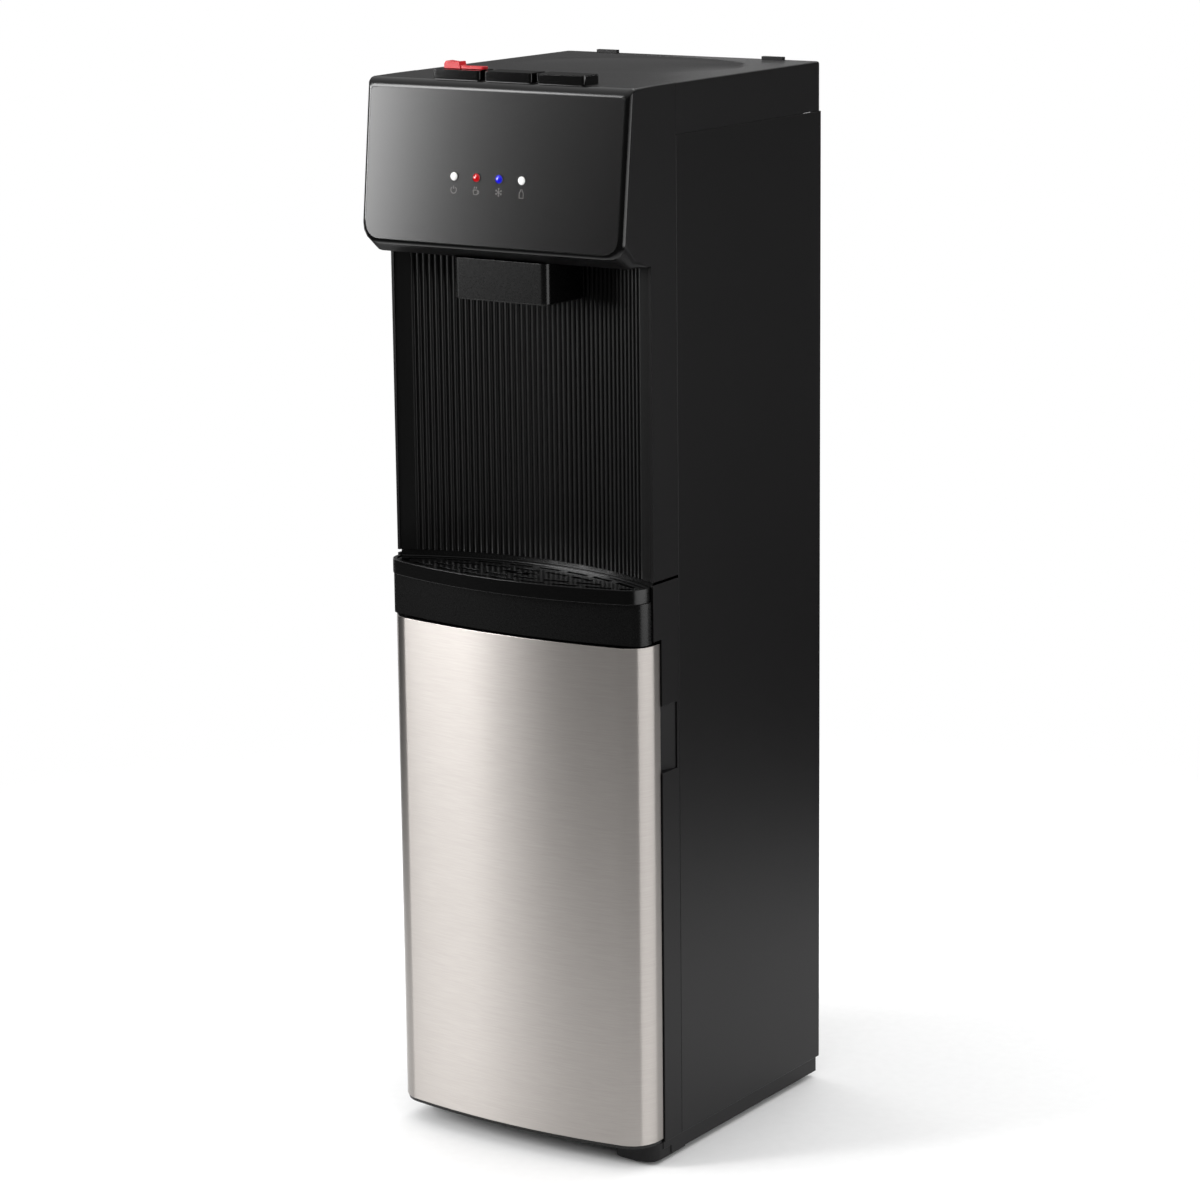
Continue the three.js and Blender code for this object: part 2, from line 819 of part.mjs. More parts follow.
// The band over the door, with the well that the tray drops into and a lip under the wall.
function trayHousing() {
  const bandHalf = halfWidth - bandSideGap;
  const behindFrame = frameReach + 0.6;
  const shelfTop = shelfBottom + shelfThickness + seat;
  const top = rimBottom - seat;
  const band = upright(
    [
      ...bowedFront(bandHalf, bandReach, bandCornerAhead, bandCorner, bandCornerAhead),
      new THREE.Vector2(bandHalf, -behindFrame),
      new THREE.Vector2(-bandHalf, -behindFrame),
    ],
    bandBottom,
    top,
  );
  const inner = halfWidth - headWall - 0.6;
  const body = upright(
    [
      new THREE.Vector2(-inner, -behindFrame - 1),
      new THREE.Vector2(inner, -behindFrame - 1),
      ...alcoveArc(flutedRadius + fluteDepth + linerWall, inner, -inner, 12),
    ],
    shelfTop,
    top,
  );
  const lip = upright(
    [
      ...alcoveArc(flutedRadius + 0.2, -inner, inner, 12),
      ...alcoveArc(flutedRadius + fluteDepth + linerWall, inner, -inner, 12),
    ],
    top - 1,
    sillHeight - seat,
  );
  const wellInset = basinInset - 0.6;
  const well = upright(
    trayOutline(wellInset, basinReach),
    trayTop - trayDepth - seat,
    top + 1,
  );
  const hollow = upright(
    bowedFront(bandHalf - 4, bandReach - 3.5, bandCornerAhead, bandCorner - 3, behindFrame - 4),
    bandBottom - 1,
    shelfTop - 4,
  );
  return joined(band, body, lip).subtract(well).subtract(hollow);
}

// ---- Lower front frame ----

const lowerFrameTop = sillHeight - frameGap;

// A pocket in the strip's side, deepest at the door's edge so that fingers reach behind it.
function fingerPull() {
  const front = -doorRear + doorGap - 1;
  const bottom = pullTop - pullHeight;
  const back = front + 1 + pullLength;
  const outline = [
    new THREE.Vector2(halfWidth + 1, front),
    new THREE.Vector2(halfWidth + 1, back),
    new THREE.Vector2(halfWidth - 2, back),
    new THREE.Vector2(halfWidth - pullDepth, front + 9),
    new THREE.Vector2(halfWidth - pullDepth, front),
  ];
  return upright(outline, bottom, pullTop);
}

function lowerFrontFrame() {
  const front = -doorRear + doorGap;
  const inner = halfWidth - stripWidth;
  let frame = block(
    -halfWidth,
    halfWidth,
    -frameReach,
    -0.15,
    shelfBottom,
    shelfBottom + shelfThickness,
  );
  for (const side of [-1, 1]) {
    const strip = [side * inner, side * halfWidth].sort((a, b) => a - b);
    const cheek = [side * (halfWidth - headWall), side * halfWidth].sort((a, b) => a - b);
    frame = frame
      .add(block(...strip, front, -0.15, panelBottom, shelfBottom + 1))
      .add(block(...cheek, -frameReach, -0.15, shelfBottom, lowerFrameTop));
  }
  const threshold = block(-inner - 1, inner + 1, front, -0.15, panelBottom, panelBottom + 3);
  const magnetPocket = block(
    inner + 1,
    inner + 8,
    front - 1,
    front + 6,
    magnetBottom - seat,
    magnetBottom + magnetHeight + seat,
  );
  return frame
    .add(threshold)
    .subtract(fingerPull())
    .subtract(magnetPocket)
    .subtract(
      rod(hingeX, -hingeAhead, hingeRadius + seat, shelfBottom - 1, shelfBottom + 10, 20),
    );
}

const magnetBottom = doorTop - 223;
const magnetHeight = 40;

function doorMagnet() {
  const front = -doorRear + doorGap;
  const inner = halfWidth - stripWidth;
  return block(
    inner + 1 + seat,
    inner + 8 - seat,
    front,
    front + 6 - seat,
    magnetBottom,
    magnetBottom + magnetHeight,
  );
}

// ---- Door ----

// The door's outline in plan, drawn in by an inset. Its left rear corner is round about the hinge
// axis, so that it turns clear of the frame.
function doorOutline(inset) {
  const front = bowedFront(
    doorHalf - inset,
    doorReach - inset,
    doorCornerAhead,
    doorCorner - inset,
    doorCornerAhead,
  );
  const radius = hingeInset - inset;
  return [
    ...front,
    new THREE.Vector2(doorHalf - inset, -doorRear - 1),
    new THREE.Vector2(doorHalf - inset - 1, -doorRear),
    ...arc(hingeX, -hingeAhead, radius, Math.PI / 2, Math.PI, 6).map(
      (p) => new THREE.Vector2(p.x, Math.min(p.y, -doorRear)),
    ),
  ];
}

function doorSkinPanel() {
  const outer = bowedFront(doorHalf, doorReach, doorCornerAhead, doorCorner, hingeAhead);
  const inner = bowedFront(
    doorHalf - doorSkin,
    doorReach - doorSkin,
    doorCornerAhead,
    doorCorner - doorSkin,
    hingeAhead,
  );
  // The free side wraps on to the door's rear edge.
  const wrap = block(
    doorHalf - doorSkin,
    doorHalf,
    -doorCornerAhead,
    -doorRear + 0.5,
    panelBottom + doorLip,
    doorTop,
  );
  return upright([...outer, ...inner.reverse()], panelBottom + doorLip, doorTop).add(wrap);
}

const strikeBottom = magnetBottom + 4;
const strikeHeight = magnetHeight - 8;

function doorInner() {
  const body = upright(doorOutline(doorSkin + seat), panelBottom, doorTop);
  const inner = halfWidth - stripWidth;
  const shell = doorSkin + doorShell;
  const bay = bowedFront(
    doorHalf - shell,
    doorReach - shell,
    doorCornerAhead,
    doorCorner - shell,
    doorRear - 1,
  );
  const panelRecess = upright(bay, panelBottom + doorBorder, doorTop - doorBorder).intersect(
    block(hingeX + 16, inner - 8, -200, 0, 0, doorTop),
  );
  const strikeSeat = block(
    inner + 1,
    inner + 8,
    -doorRear - 1.2,
    -doorRear + 1,
    strikeBottom - seat,
    strikeBottom + strikeHeight + seat,
  );
  const bore = (from, to) => rod(hingeX, -hingeAhead, hingeRadius + seat, from, to, 20);
  return body
    .subtract(panelRecess)
    .subtract(strikeSeat)
    .subtract(bore(panelBottom - 1, panelBottom + 14))
    .subtract(bore(doorTop - 12, doorTop + 3));
}

function strikePlate() {
  const inner = halfWidth - stripWidth;
  return block(
    inner + 1 + seat,
    inner + 8 - seat,
    -doorRear - 0.9,
    -doorRear,
    strikeBottom,
    strikeBottom + strikeHeight,
  );
}

function upperHingePin() {
  return rod(hingeX, -hingeAhead, hingeRadius, doorTop - 11, shelfBottom + shelfThickness, 20);
}

function lowerHingePin() {
  return rod(hingeX, -hingeAhead, hingeRadius, tongueBottom + 1 + seat, panelBottom + 13, 20);
}

// ---- Base ----

const lugTail = 12; // lugs and tongue, behind the seam
const tongueBottom = 14;

function basePan() {
  const side = halfWidth - 2;
  const back = cabinetDepth - 3;
  const front = -doorRear + doorGap;
  const plate = block(-side, side, front, back, 14, panelBottom - seat);
  const skirt = block(-side, side, front + 14, back, railBottom, 15).subtract(
    block(-side + 10, side - 10, front + 24, back - 10, railBottom - 1, 14),
  );
  let pan = plate.add(skirt);
  for (const [from, to, reach] of [
    [lugOuter - lugWidth, lugOuter, lugReach],
    [-lugOuter, -lugOuter + leftLugWidth, leftLugReach],
  ]) {
    const plan = roundedRectangle(from, to, -reach, lugTail, 14, 2, 5);
    pan = pan.add(upright(plan, lugBottom, panelBottom - 1));
  }
  const tongue = upright(
    roundedRectangle(-lugOuter, -lugOuter + tongueWidth, -lugReach, lugTail, 9, 2),
    tongueBottom,
    panelBottom - seat,
  );
  return pan
    .add(tongue)
    .subtract(
      rod(hingeX, -hingeAhead, hingeRadius + seat, tongueBottom + 1, panelBottom + 1, 20),
    );
}

const footX = lugOuter - lugWidth / 2;
const leftFootX = -lugOuter + leftLugWidth / 2 + 0.5;
const frontFootY = -lugReach + 6 + footRadius;
const leftFootY = -leftLugReach + 2 + footRadius;
const rearFootY = cabinetDepth - 8 - footRadius;

function foot(x, y, top) {
  return turned(x, y, [
    [0, 0],
    [footRadius - 1.5, 0],
    [footRadius, 1.5],
    [footRadius - 1, top],
    [0, top],
  ]);
}

// ---- Cabinet panels ----

// A sheet folded in at the front and the back edge.
function sidePanel(side) {
  const outer = side * halfWidth;
  const skin = side * (halfWidth - steel);
  const tip = side * (halfWidth - flange);
  const outline = [
    [outer, 0.15],
    [outer, cabinetDepth],
    [tip, cabinetDepth],
    [tip, cabinetDepth - steel],
    [skin, cabinetDepth - steel],
    [skin, 0.15 + steel],
    [tip, 0.15 + steel],
    [tip, 0.15],
  ].map(([x, y]) => new THREE.Vector2(x, y));
  return upright(outline, panelBottom, skirtBottom - seat);
}

const condenserTop = deckHeight - 170;
const condenserPitch = 48;
const condenserPasses = 9;
const condenserHalf = 112;
const tubeRadius = 2.5;
const condenserY = backPanelY + 12;
const drainX = -105;
const drainHeight = 330;
const glandX = 105;
const glandHeight = 110;
const switchX = halfWidth - 58;
const switchHeight = deckHeight - 110;
const switchPlateHalf = 24;
const switchPlateTall = 34;

const ventHalf = 38;
const ventOpen = 5;
const ventPitch = 13;
// Middle, lowest slot and number of slots of each group of vents.
const vents = [
  [-55, 170, 5],
  [55, 170, 5],
  [-45, deckHeight - 145, 4],
];

// The rear sheet stands in from the cabinet's back edge, folded back along both sides.
function backPanel() {
  const half = halfWidth - steel - seat;
  const fold = 9;
  const outline = [
    [-half, backPanelY - steel],
    [half, backPanelY - steel],
    [half, backPanelY + fold],
    [half - steel, backPanelY + fold],
    [half - steel, backPanelY],
    [-half + steel, backPanelY],
    [-half + steel, backPanelY + fold],
    [-half, backPanelY + fold],
  ].map(([x, y]) => new THREE.Vector2(x, y));
  let panel = upright(outline, panelBottom + 1, skirtBottom - 1);
  for (const x of [-70, 70]) {
    for (let pass = 1; pass < condenserPasses; pass += 5) {
      const z = condenserTop - pass * condenserPitch;
      panel = panel.add(
        block(x - 5, x + 5, backPanelY - 0.5, condenserY - tubeRadius - seat, z - 6, z + 6),
      );
    }
  }
  for (const [x, z, rows] of vents) {
    for (let row = 0; row < rows; row++) {
      const low = z + row * ventPitch;
      panel = panel.subtract(
        block(x - ventHalf, x + ventHalf, backPanelY - 5, backPanelY + 5, low, low + ventOpen),
      );
    }
  }
  const bores = joined(
    turnedBackward(drainX, drainHeight, ringBore(8.3)),
    turnedBackward(glandX, glandHeight, ringBore(8.3)),
    block(
      switchX - switchPlateHalf + 2,
      switchX + switchPlateHalf - 2,
      backPanelY - 5,
      backPanelY + 5,
      switchHeight - switchPlateTall / 2 + 2,
      switchHeight + switchPlateTall / 2 - 2,
    ),
  );
  return panel.subtract(bores);
}

function ringBore(radius) {
  return [
    [0, backPanelY - 5],
    [radius, backPanelY - 5],
    [radius, backPanelY + 5],
    [0, backPanelY + 5],
  ];
}

const dishCentreY = cabinetDepth - 117;
const dishHalfX = 124;
const dishHalfY = 96;
const dishDepth = 6;

function dish(grow, depth) {
  const geometry = new THREE.SphereGeometry(1, 28, 10);
  geometry.rotateX(Math.PI / 2);
  geometry.scale(dishHalfX + grow, dishHalfY + grow, depth);
  geometry.translate(0, dishCentreY, 0);
  return solidOf(geometry);
}

// The rear cover: a lid with skirts, a shallow dish in its top and two tabs at its back edge.
function topCover() {
  const section = (inset, z) =>
    roundedRectangle(
      -halfWidth + inset,
      halfWidth - inset,
      0.15,
      cabinetDepth - inset,
      0.2,
      Math.max(5 - inset, 0.5),
      4,
    ).map((p) => new THREE.Vector3(p.x, p.y, z));
  const outer = loft([
    section(0, -skirtHeight),
    section(0, -2),
    section(0.6, -0.6),
    section(2, 0),
  ]);
  const wall = 2.5;
  const inner = block(
    -halfWidth + wall,
    halfWidth - wall,
    -5,
    cabinetDepth - wall,
    -skirtHeight - 5,
    -wall,
  );
  const plate = block(-halfWidth, halfWidth, 20, cabinetDepth - 3, -30, -1);
  const under = dish(8, dishDepth + 3).intersect(plate);
  const deckCut = upright(
    [
      ...tongueOutline(seat),
      new THREE.Vector2(-halfWidth - 10, -5),
      new THREE.Vector2(halfWidth + 10, -5),
    ],
    -headWall - 1,
    5,
  ).intersect(block(-cabinetWidth, cabinetWidth, -10, 60, -10, 10));
  let cover = outer.subtract(inner).add(under).subtract(dish(0, dishDepth)).subtract(deckCut);
  for (const x of [-98, 98]) {
    cover = cover.add(block(x - 12, x + 12, cabinetDepth - 7.5, cabinetDepth - 2.2, -1, 3));
  }
  return cover;
}

// ---- Bottle bay ----

const bayHalf = halfWidth - steel - seat;
const bayBack = backPanelY - 15;
const bayTop = doorTop + 13;
const bayFloor = 3;

function bottleBayLiner() {
  const front = 0.15 + steel + seat;
  const wall = 2;
  const shell = block(-bayHalf, bayHalf, front, bayBack, panelBottom, bayTop);
  return shell.subtract(
    block(
      -bayHalf + wall,
      bayHalf - wall,
      front - 1,
      bayBack - wall,
      panelBottom + bayFloor,
      bayTop + 1,
    ),
  );
}

// A low tray that guides the bottle to its place and stops it at the back.
function bottlePlatform() {
  const half = halfWidth - 14;
  const bottom = panelBottom + bayFloor + seat;
  const tray = upright(roundedRectangle(-half, half, 4, bayBack - 6, 4, 60, 8), bottom, bottom + 8);
  const floor = upright(roundedRectangle(-half + 3, half - 3, -10, bayBack - 9, 4, 57, 8), bottom + 3, 99);
  return tray.subtract(floor);
}

function midDeck() {
  const z = bayTop + seat;
  return block(-bayHalf, bayHalf, 2, backPanelY - steel - seat, z, z + 2).subtract(
    rod(probeX, probeY, 8 + seat, z - 1, z + 3, 20),
  );
}

const probeX = -halfWidth + 36;
const probeY = bayBack - 32;
const hookTop = bayTop - 74;
const hoseRadius = 5;
const probeRadius = 5.5;

// A fork on the bay's back wall, which the probe's cap hangs on.
function probeHook() {
  const wallFace = bayBack - 2 - seat;
  const plate = block(probeX - 22, probeX + 22, wallFace - 3, wallFace, hookTop - 30, hookTop);
  const fork = block(probeX - 18, probeX + 18, probeY - 14, wallFace - 1, hookTop - 5, hookTop);
  const slot = joined(
    rod(probeX, probeY, probeRadius + 1, hookTop - 9, hookTop + 1, 20),
    block(
      probeX - probeRadius - 1,
      probeX + probeRadius + 1,
      probeY - 20,
      probeY,
      hookTop - 9,
      hookTop + 1,
    ),
  );
  return plate.add(fork).subtract(slot);
}

function probeCap() {
  const bottom = hookTop + seat;
  return turned(probeX, probeY, [
    [probeRadius + seat, bottom],
    [27, bottom],
    [29, bottom + 2],
    [29, bottom + 24],
    [26, bottom + 28],
    [9, bottom + 28],
    [8, bottom + 34],
    [probeRadius + seat, bottom + 34],
    [probeRadius + seat, bottom],
  ]);
}

// The suction tube under the cap, with a foot strainer.
function probeTube() {
  return turned(
    probeX,
    probeY,
    [
      [0, 52],
      [8, 52],
      [9, 55],
      [9, 82],
      [probeRadius, 88],
      [probeRadius, hookTop + 30],
      [0, hookTop + 30],
    ],
    16,
  );
}

const hoseBottom = hookTop + 34 + 2 * seat;
const bulkheadBottom = bayTop - 14;

function supplyHose() {
  return rod(probeX, probeY, hoseRadius, hoseBottom, bulkheadBottom - seat, 12);
}

function bulkheadFitting() {
  const under = bayTop + seat;
  return turned(
    probeX,
    probeY,
    [
      [0, bulkheadBottom],
      [6, bulkheadBottom],
      [6, under - 4],
      [12, under - 4],
      [12, under - seat],
      [8, under - seat],
      [8, under + 8],
      [6, under + 10],
      [6, under + 18],
      [0, under + 18],
    ],
    16,
  );
}

// ---- Machinery above the bay ----

const deckTop = bayTop + seat + 2;
const shelfHeight = deckHeight - 315;
const shelfRise = shelfHeight + 1.5 + seat;

function pump() {
  const bottom = deckTop + seat;
  const motor = solidOf(
    new THREE.CylinderGeometry(20, 20, 60, 20).rotateZ(Math.PI / 2).translate(-75, 60, bottom + 24),
  );
  const headBlock = block(-132, -100, 36, 84, bottom, bottom + 48);
  const saddle = block(-102, -50, 44, 76, bottom, bottom + 8);
  return joined(motor, headBlock, saddle);
}

const compressorX = cabinetWidth * 0.193;
const compressorY = backPanelY - 81;
const mountingHalf = cabinetWidth * 0.26;
const mountingDepth = 90;

function compressor() {
  const bottom = deckTop + seat;
  const shell = turned(compressorX, compressorY, [
    [0, bottom + 2],
    [40, bottom + 3],
    [58, bottom + 24],
    [60, bottom + 80],
    [63, bottom + 82],
    [63, bottom + 88],
    [60, bottom + 90],
    [57, bottom + 128],
    [42, bottom + 146],
    [0, bottom + 150],
  ]);
  const hollow = turned(compressorX, compressorY, [
    [0, bottom - 1],
    [32, bottom - 1],
    [32, bottom + 12],
    [54, bottom + 30],
    [54, bottom + 118],
    [40, bottom + 136],
    [0, bottom + 140],
  ]);
  const plate = upright(
    roundedRectangle(
      compressorX - mountingHalf,
      compressorX + mountingHalf,
      compressorY - mountingDepth / 2,
      compressorY + mountingDepth / 2,
      12,
    ),
    bottom,
    bottom + 4,
  );
  return plate.add(shell).subtract(hollow);
}

// The dryer stands against the rear sheet beside the compressor.
function filterDryer() {
  const y = backPanelY - steel - seat - 10;
  const bottom = deckTop + seat;
  return turned(
    compressorX - mountingHalf - 13,
    y,
    [
      [0, bottom],
      [3, bottom],
      [3, bottom + 8],
      [10, bottom + 20],
      [10, bottom + 100],
      [3, bottom + 114],
      [3, bottom + 122],
      [0, bottom + 122],
    ],
    16,
  );
}

// A sheet folded down along both sides.
function tankShelf() {
  const sheet = 1.5;
  const top = shelfHeight + sheet;
  const outline = [
    [-bayHalf, top - 16],
    [-bayHalf + sheet, top - 16],
    [-bayHalf + sheet, shelfHeight],
    [bayHalf - sheet, shelfHeight],
    [bayHalf - sheet, top - 16],
    [bayHalf, top - 16],
    [bayHalf, top],
    [-bayHalf, top],
  ].map(([x, z]) => new THREE.Vector2(x, z));
  return backward(outline, 18, backPanelY - steel - seat);
}

const tankSides = 12;
const coldX = -cabinetWidth / 6;
const coldY = backPanelY - 109;
const coldRadius = cabinetWidth * 0.223;
const coldBottom = shelfRise + 24;
const coldHeight = 174;
const tankWall = 1.2;
const neckRise = 8;
const coldJacket = cabinetWidth * 0.07;

// A tank's wall as one profile, open at its neck.
function tank(x, y, radius, bottom, height, neck) {
  const top = bottom + height;
  const shoulder = 8;
  const profile = [
    [0, bottom],
    [radius - shoulder, bottom],
    [radius, bottom + shoulder],
    [radius, top - shoulder],
    [radius - shoulder, top],
    [neck, top],
    [neck, top + neckRise],
    [neck - tankWall, top + neckRise],
    [neck - tankWall, top - tankWall],
    [radius - shoulder - tankWall / 2, top - tankWall],
    [radius - tankWall, top - shoulder - tankWall / 2],
    [radius - tankWall, bottom + shoulder + tankWall / 2],
    [radius - shoulder - tankWall / 2, bottom + tankWall],
    [0, bottom + tankWall],
  ];
  return turned(x, y, profile, tankSides);
}

function coldTank() {
  return tank(coldX, coldY, coldRadius, coldBottom, coldHeight, 8);
}

// A foam jacket under and around the cold tank, open at the top.
function coldTankInsulation() {
  const half = coldRadius + coldJacket;
  const jacket = upright(
    roundedRectangle(coldX - half, coldX + half, coldY - half, coldY + half, 14),
    shelfRise,
    coldBottom + coldHeight - 10,
  );
  return jacket.subtract(
    rod(coldX, coldY, coldRadius + seat, coldBottom - seat, coldBottom + coldHeight + 1, tankSides),
  );
}

const hotX = cabinetWidth * 0.317;
const hotY = backPanelY - 121;
const hotRadius = cabinetWidth * 0.147;
const hotHeight = 172;
const hotJacket = cabinetWidth * 0.02;

function hotTank() {
  return tank(hotX, hotY, hotRadius, shelfRise, hotHeight, 7);
}

function hotTankInsulation() {
  const top = shelfRise + hotHeight - 12;
  const ring = rod(hotX, hotY, hotRadius + hotJacket, shelfRise, top, tankSides);
  return ring.subtract(rod(hotX, hotY, hotRadius + seat, shelfRise - 1, top + 1, tankSides));
}

const powerLeft = -halfWidth + 15;

function powerBoard() {
  const y = backPanelY - steel - seat;
  const top = shelfHeight - 20;
  let board = block(powerLeft, powerLeft + cabinetWidth / 4, y - 1.6, y, top - 95, top);
  board = board.add(block(powerLeft + 7, powerLeft + 35, y - 24, y - 1, top - 35, top - 7));
  board = board.add(block(powerLeft + 42, powerLeft + 64, y - 16, y - 1, top - 79, top - 47));
  return board;
}

// ---- Pipes ----

// A route that keeps its own points, so that bends get steps and straights get none.
class Route extends THREE.Curve {
  constructor(points) {
    super();
    this.points = points;
  }
  getPoint(t) {
    const at = Math.min(Math.max(t, 0), 1) * (this.points.length - 1);
    const index = Math.min(Math.floor(at), this.points.length - 2);
    return this.points[index].clone().lerp(this.points[index + 1], at - index);
  }
  getUtoTmapping(u) {
    return u;
  }
}

// Straight runs between corners, each corner rounded by a bend of this radius.
function bentRoute(corners, bend, steps) {
  const points = [corners[0].clone()];
  for (let i = 1; i < corners.length - 1; i++) {
    const corner = corners[i];
    const back = corners[i - 1].clone().sub(corner).normalize();
    const on = corners[i + 1].clone().sub(corner).normalize();
    const half = back.angleTo(on) / 2;
    const trim = bend / Math.tan(half);
    const centre = back.clone().add(on).normalize().multiplyScalar(bend / Math.sin(half));
    const from = back.clone().multiplyScalar(trim).sub(centre);
    const to = on.clone().multiplyScalar(trim).sub(centre);
    const sweep = from.angleTo(to);
    for (let s = 0; s <= steps; s++) {
      const share = s / steps;
      const p = from
        .clone()
        .multiplyScalar(Math.sin((1 - share) * sweep) / Math.sin(sweep))
        .addScaledVector(to, Math.sin(share * sweep) / Math.sin(sweep));
      points.push(p.add(centre).add(corner));
    }
  }
  points.push(corners[corners.length - 1].clone());
  return new Route(points);
}

function pipe(route, radius, sides) {
  const ring = new THREE.Shape(arc(0, 0, radius, 0, 2 * Math.PI, sides).slice(0, -1));
  return solidOf(
    new THREE.ExtrudeGeometry(ring, {
      steps: route.points.length - 1,
      extrudePath: route,
      bevelEnabled: false,
    }),
  );
}

// One tube laid back and forth across the cabinet's back.
function condenser() {
  const corners = [new THREE.Vector3(-condenserHalf, condenserY, condenserTop)];
  for (let pass = 0; pass < condenserPasses; pass++) {
    const z = condenserTop - pass * condenserPitch;
    const end = pass % 2 ? -condenserHalf : condenserHalf;
    corners.push(new THREE.Vector3(end, condenserY, z));
    if (pass < condenserPasses - 1) {
      corners.push(new THREE.Vector3(end, condenserY, z - condenserPitch));
    }
  }
  return pipe(bentRoute(corners, condenserPitch / 2 - 0.5, 3), tubeRadius, 5);
}

const nozzleTop = ceilingHeight + 12;

function waterLine(fromX, fromY, fromZ, toX, height) {
  const corners = [
    new THREE.Vector3(fromX, fromY, fromZ),
    new THREE.Vector3(fromX, fromY, height),
    new THREE.Vector3(toX, -nozzleAhead, height),
    new THREE.Vector3(toX, -nozzleAhead, nozzleTop + seat),
  ];
  return pipe(bentRoute(corners, 14, 4), 3.5, 8);
}

// Each line leaves its tank's neck, crosses over the head and comes down into the nozzle.
const lineApart = 4;

function coldLine() {
  const neck = coldBottom + coldHeight + neckRise + seat;
  return waterLine(coldX, coldY, neck, -lineApart, deckHeight - 82);
}

function hotLine() {
  const neck = shelfRise + hotHeight + neckRise + seat;
  return waterLine(hotX, hotY, neck, lineApart, deckHeight - 100);
}

// ---- Rear fittings ----

function mainsGland() {
  return turnedBackward(glandX, glandHeight, [
    [4.5, backPanelY - 4],
    [8, backPanelY - 4],
    [8, backPanelY + seat],
    [12, backPanelY + seat],
    [11, backPanelY + 5],
    [4.5, backPanelY + 5],
    [4.5, backPanelY - 4],
  ]);
}

function drainFitting() {
  return turnedBackward(drainX, drainHeight, [
    [4.5, backPanelY - 14],
    [8, backPanelY - 14],
    [8, backPanelY + seat],
    [14, backPanelY + seat],
    [14, backPanelY + 3],
    [7.5, backPanelY + 3],
    [7.5, backPanelY + 14],
    [4.5, backPanelY + 14],
    [4.5, backPanelY - 14],
  ]);
}

function drainCap() {
  return turnedBackward(
    drainX,
    drainHeight,
    [
      [7.5 + seat, backPanelY + 3 + seat],
      [13, backPanelY + 3 + seat],
      [13, backPanelY + 16],
      [11.5, backPanelY + 18],
      [0, backPanelY + 18],
      [0, backPanelY + 14 + seat],
      [7.5 + seat, backPanelY + 14 + seat],
      [7.5 + seat, backPanelY + 3 + seat],
    ],
    12,
  );
}

const rockerHalf = 6.5;
const rockerTall = 10;
const rockerPitch = 20;
const rockerPivotY = backPanelY - 3;
const rockerTilt = THREE.MathUtils.degToRad(7);

function rockerX(index) {
  return switchX + (index - 0.5) * rockerPitch;
}

// A plate over the cut-out, with a closed-bottomed socket for each rocker.
function switchPlate() {
  const z = switchHeight;
  const tall = switchPlateTall / 2;
  let plate = block(
    switchX - switchPlateHalf,
    switchX + switchPlateHalf,
    backPanelY + seat,
    backPanelY + 3,
    z - tall,
    z + tall,
  ).add(
    block(
      switchX - switchPlateHalf + 3,
      switchX + switchPlateHalf - 3,
      rockerPivotY - 12,
      backPanelY + 1,
      z - tall + 3,
      z + tall - 3,
    ),
  );
  for (let i = 0; i < 2; i++) {
    plate = plate.subtract(
      block(
        rockerX(i) - rockerHalf - 0.4,
        rockerX(i) + rockerHalf + 0.4,
        rockerPivotY - 9,
        backPanelY + 9,
        z - rockerTall - 1.4,
        z + rockerTall + 1.4,
      ),
    );
  }
  return plate;
}

// A rocker with a hollowed face and a round keel, tilted to its off position.
function rocker(index) {
  const keel = arc(0, 0, 8.4, -Math.PI * 0.86, -Math.PI * 0.14, 8).map(
    (p) => new THREE.Vector2(p.y, p.x),
  );
  const outline = [
    ...keel,
    new THREE.Vector2(2, rockerTall),
    new THREE.Vector2(7.6, rockerTall),
    new THREE.Vector2(5.8, 0),
    new THREE.Vector2(7.6, -rockerTall),
    new THREE.Vector2(2, -rockerTall),
  ];
  const turn = new THREE.Matrix4()
    .makeRotationX(-rockerTilt)
    .setPosition(0, rockerPivotY, switchHeight);
  return crosswise(outline, rockerX(index) - rockerHalf, rockerX(index) + rockerHalf).transform(
    turn.elements,
  );
}

// ---- Assembly ----

const cooler = new THREE.Group();

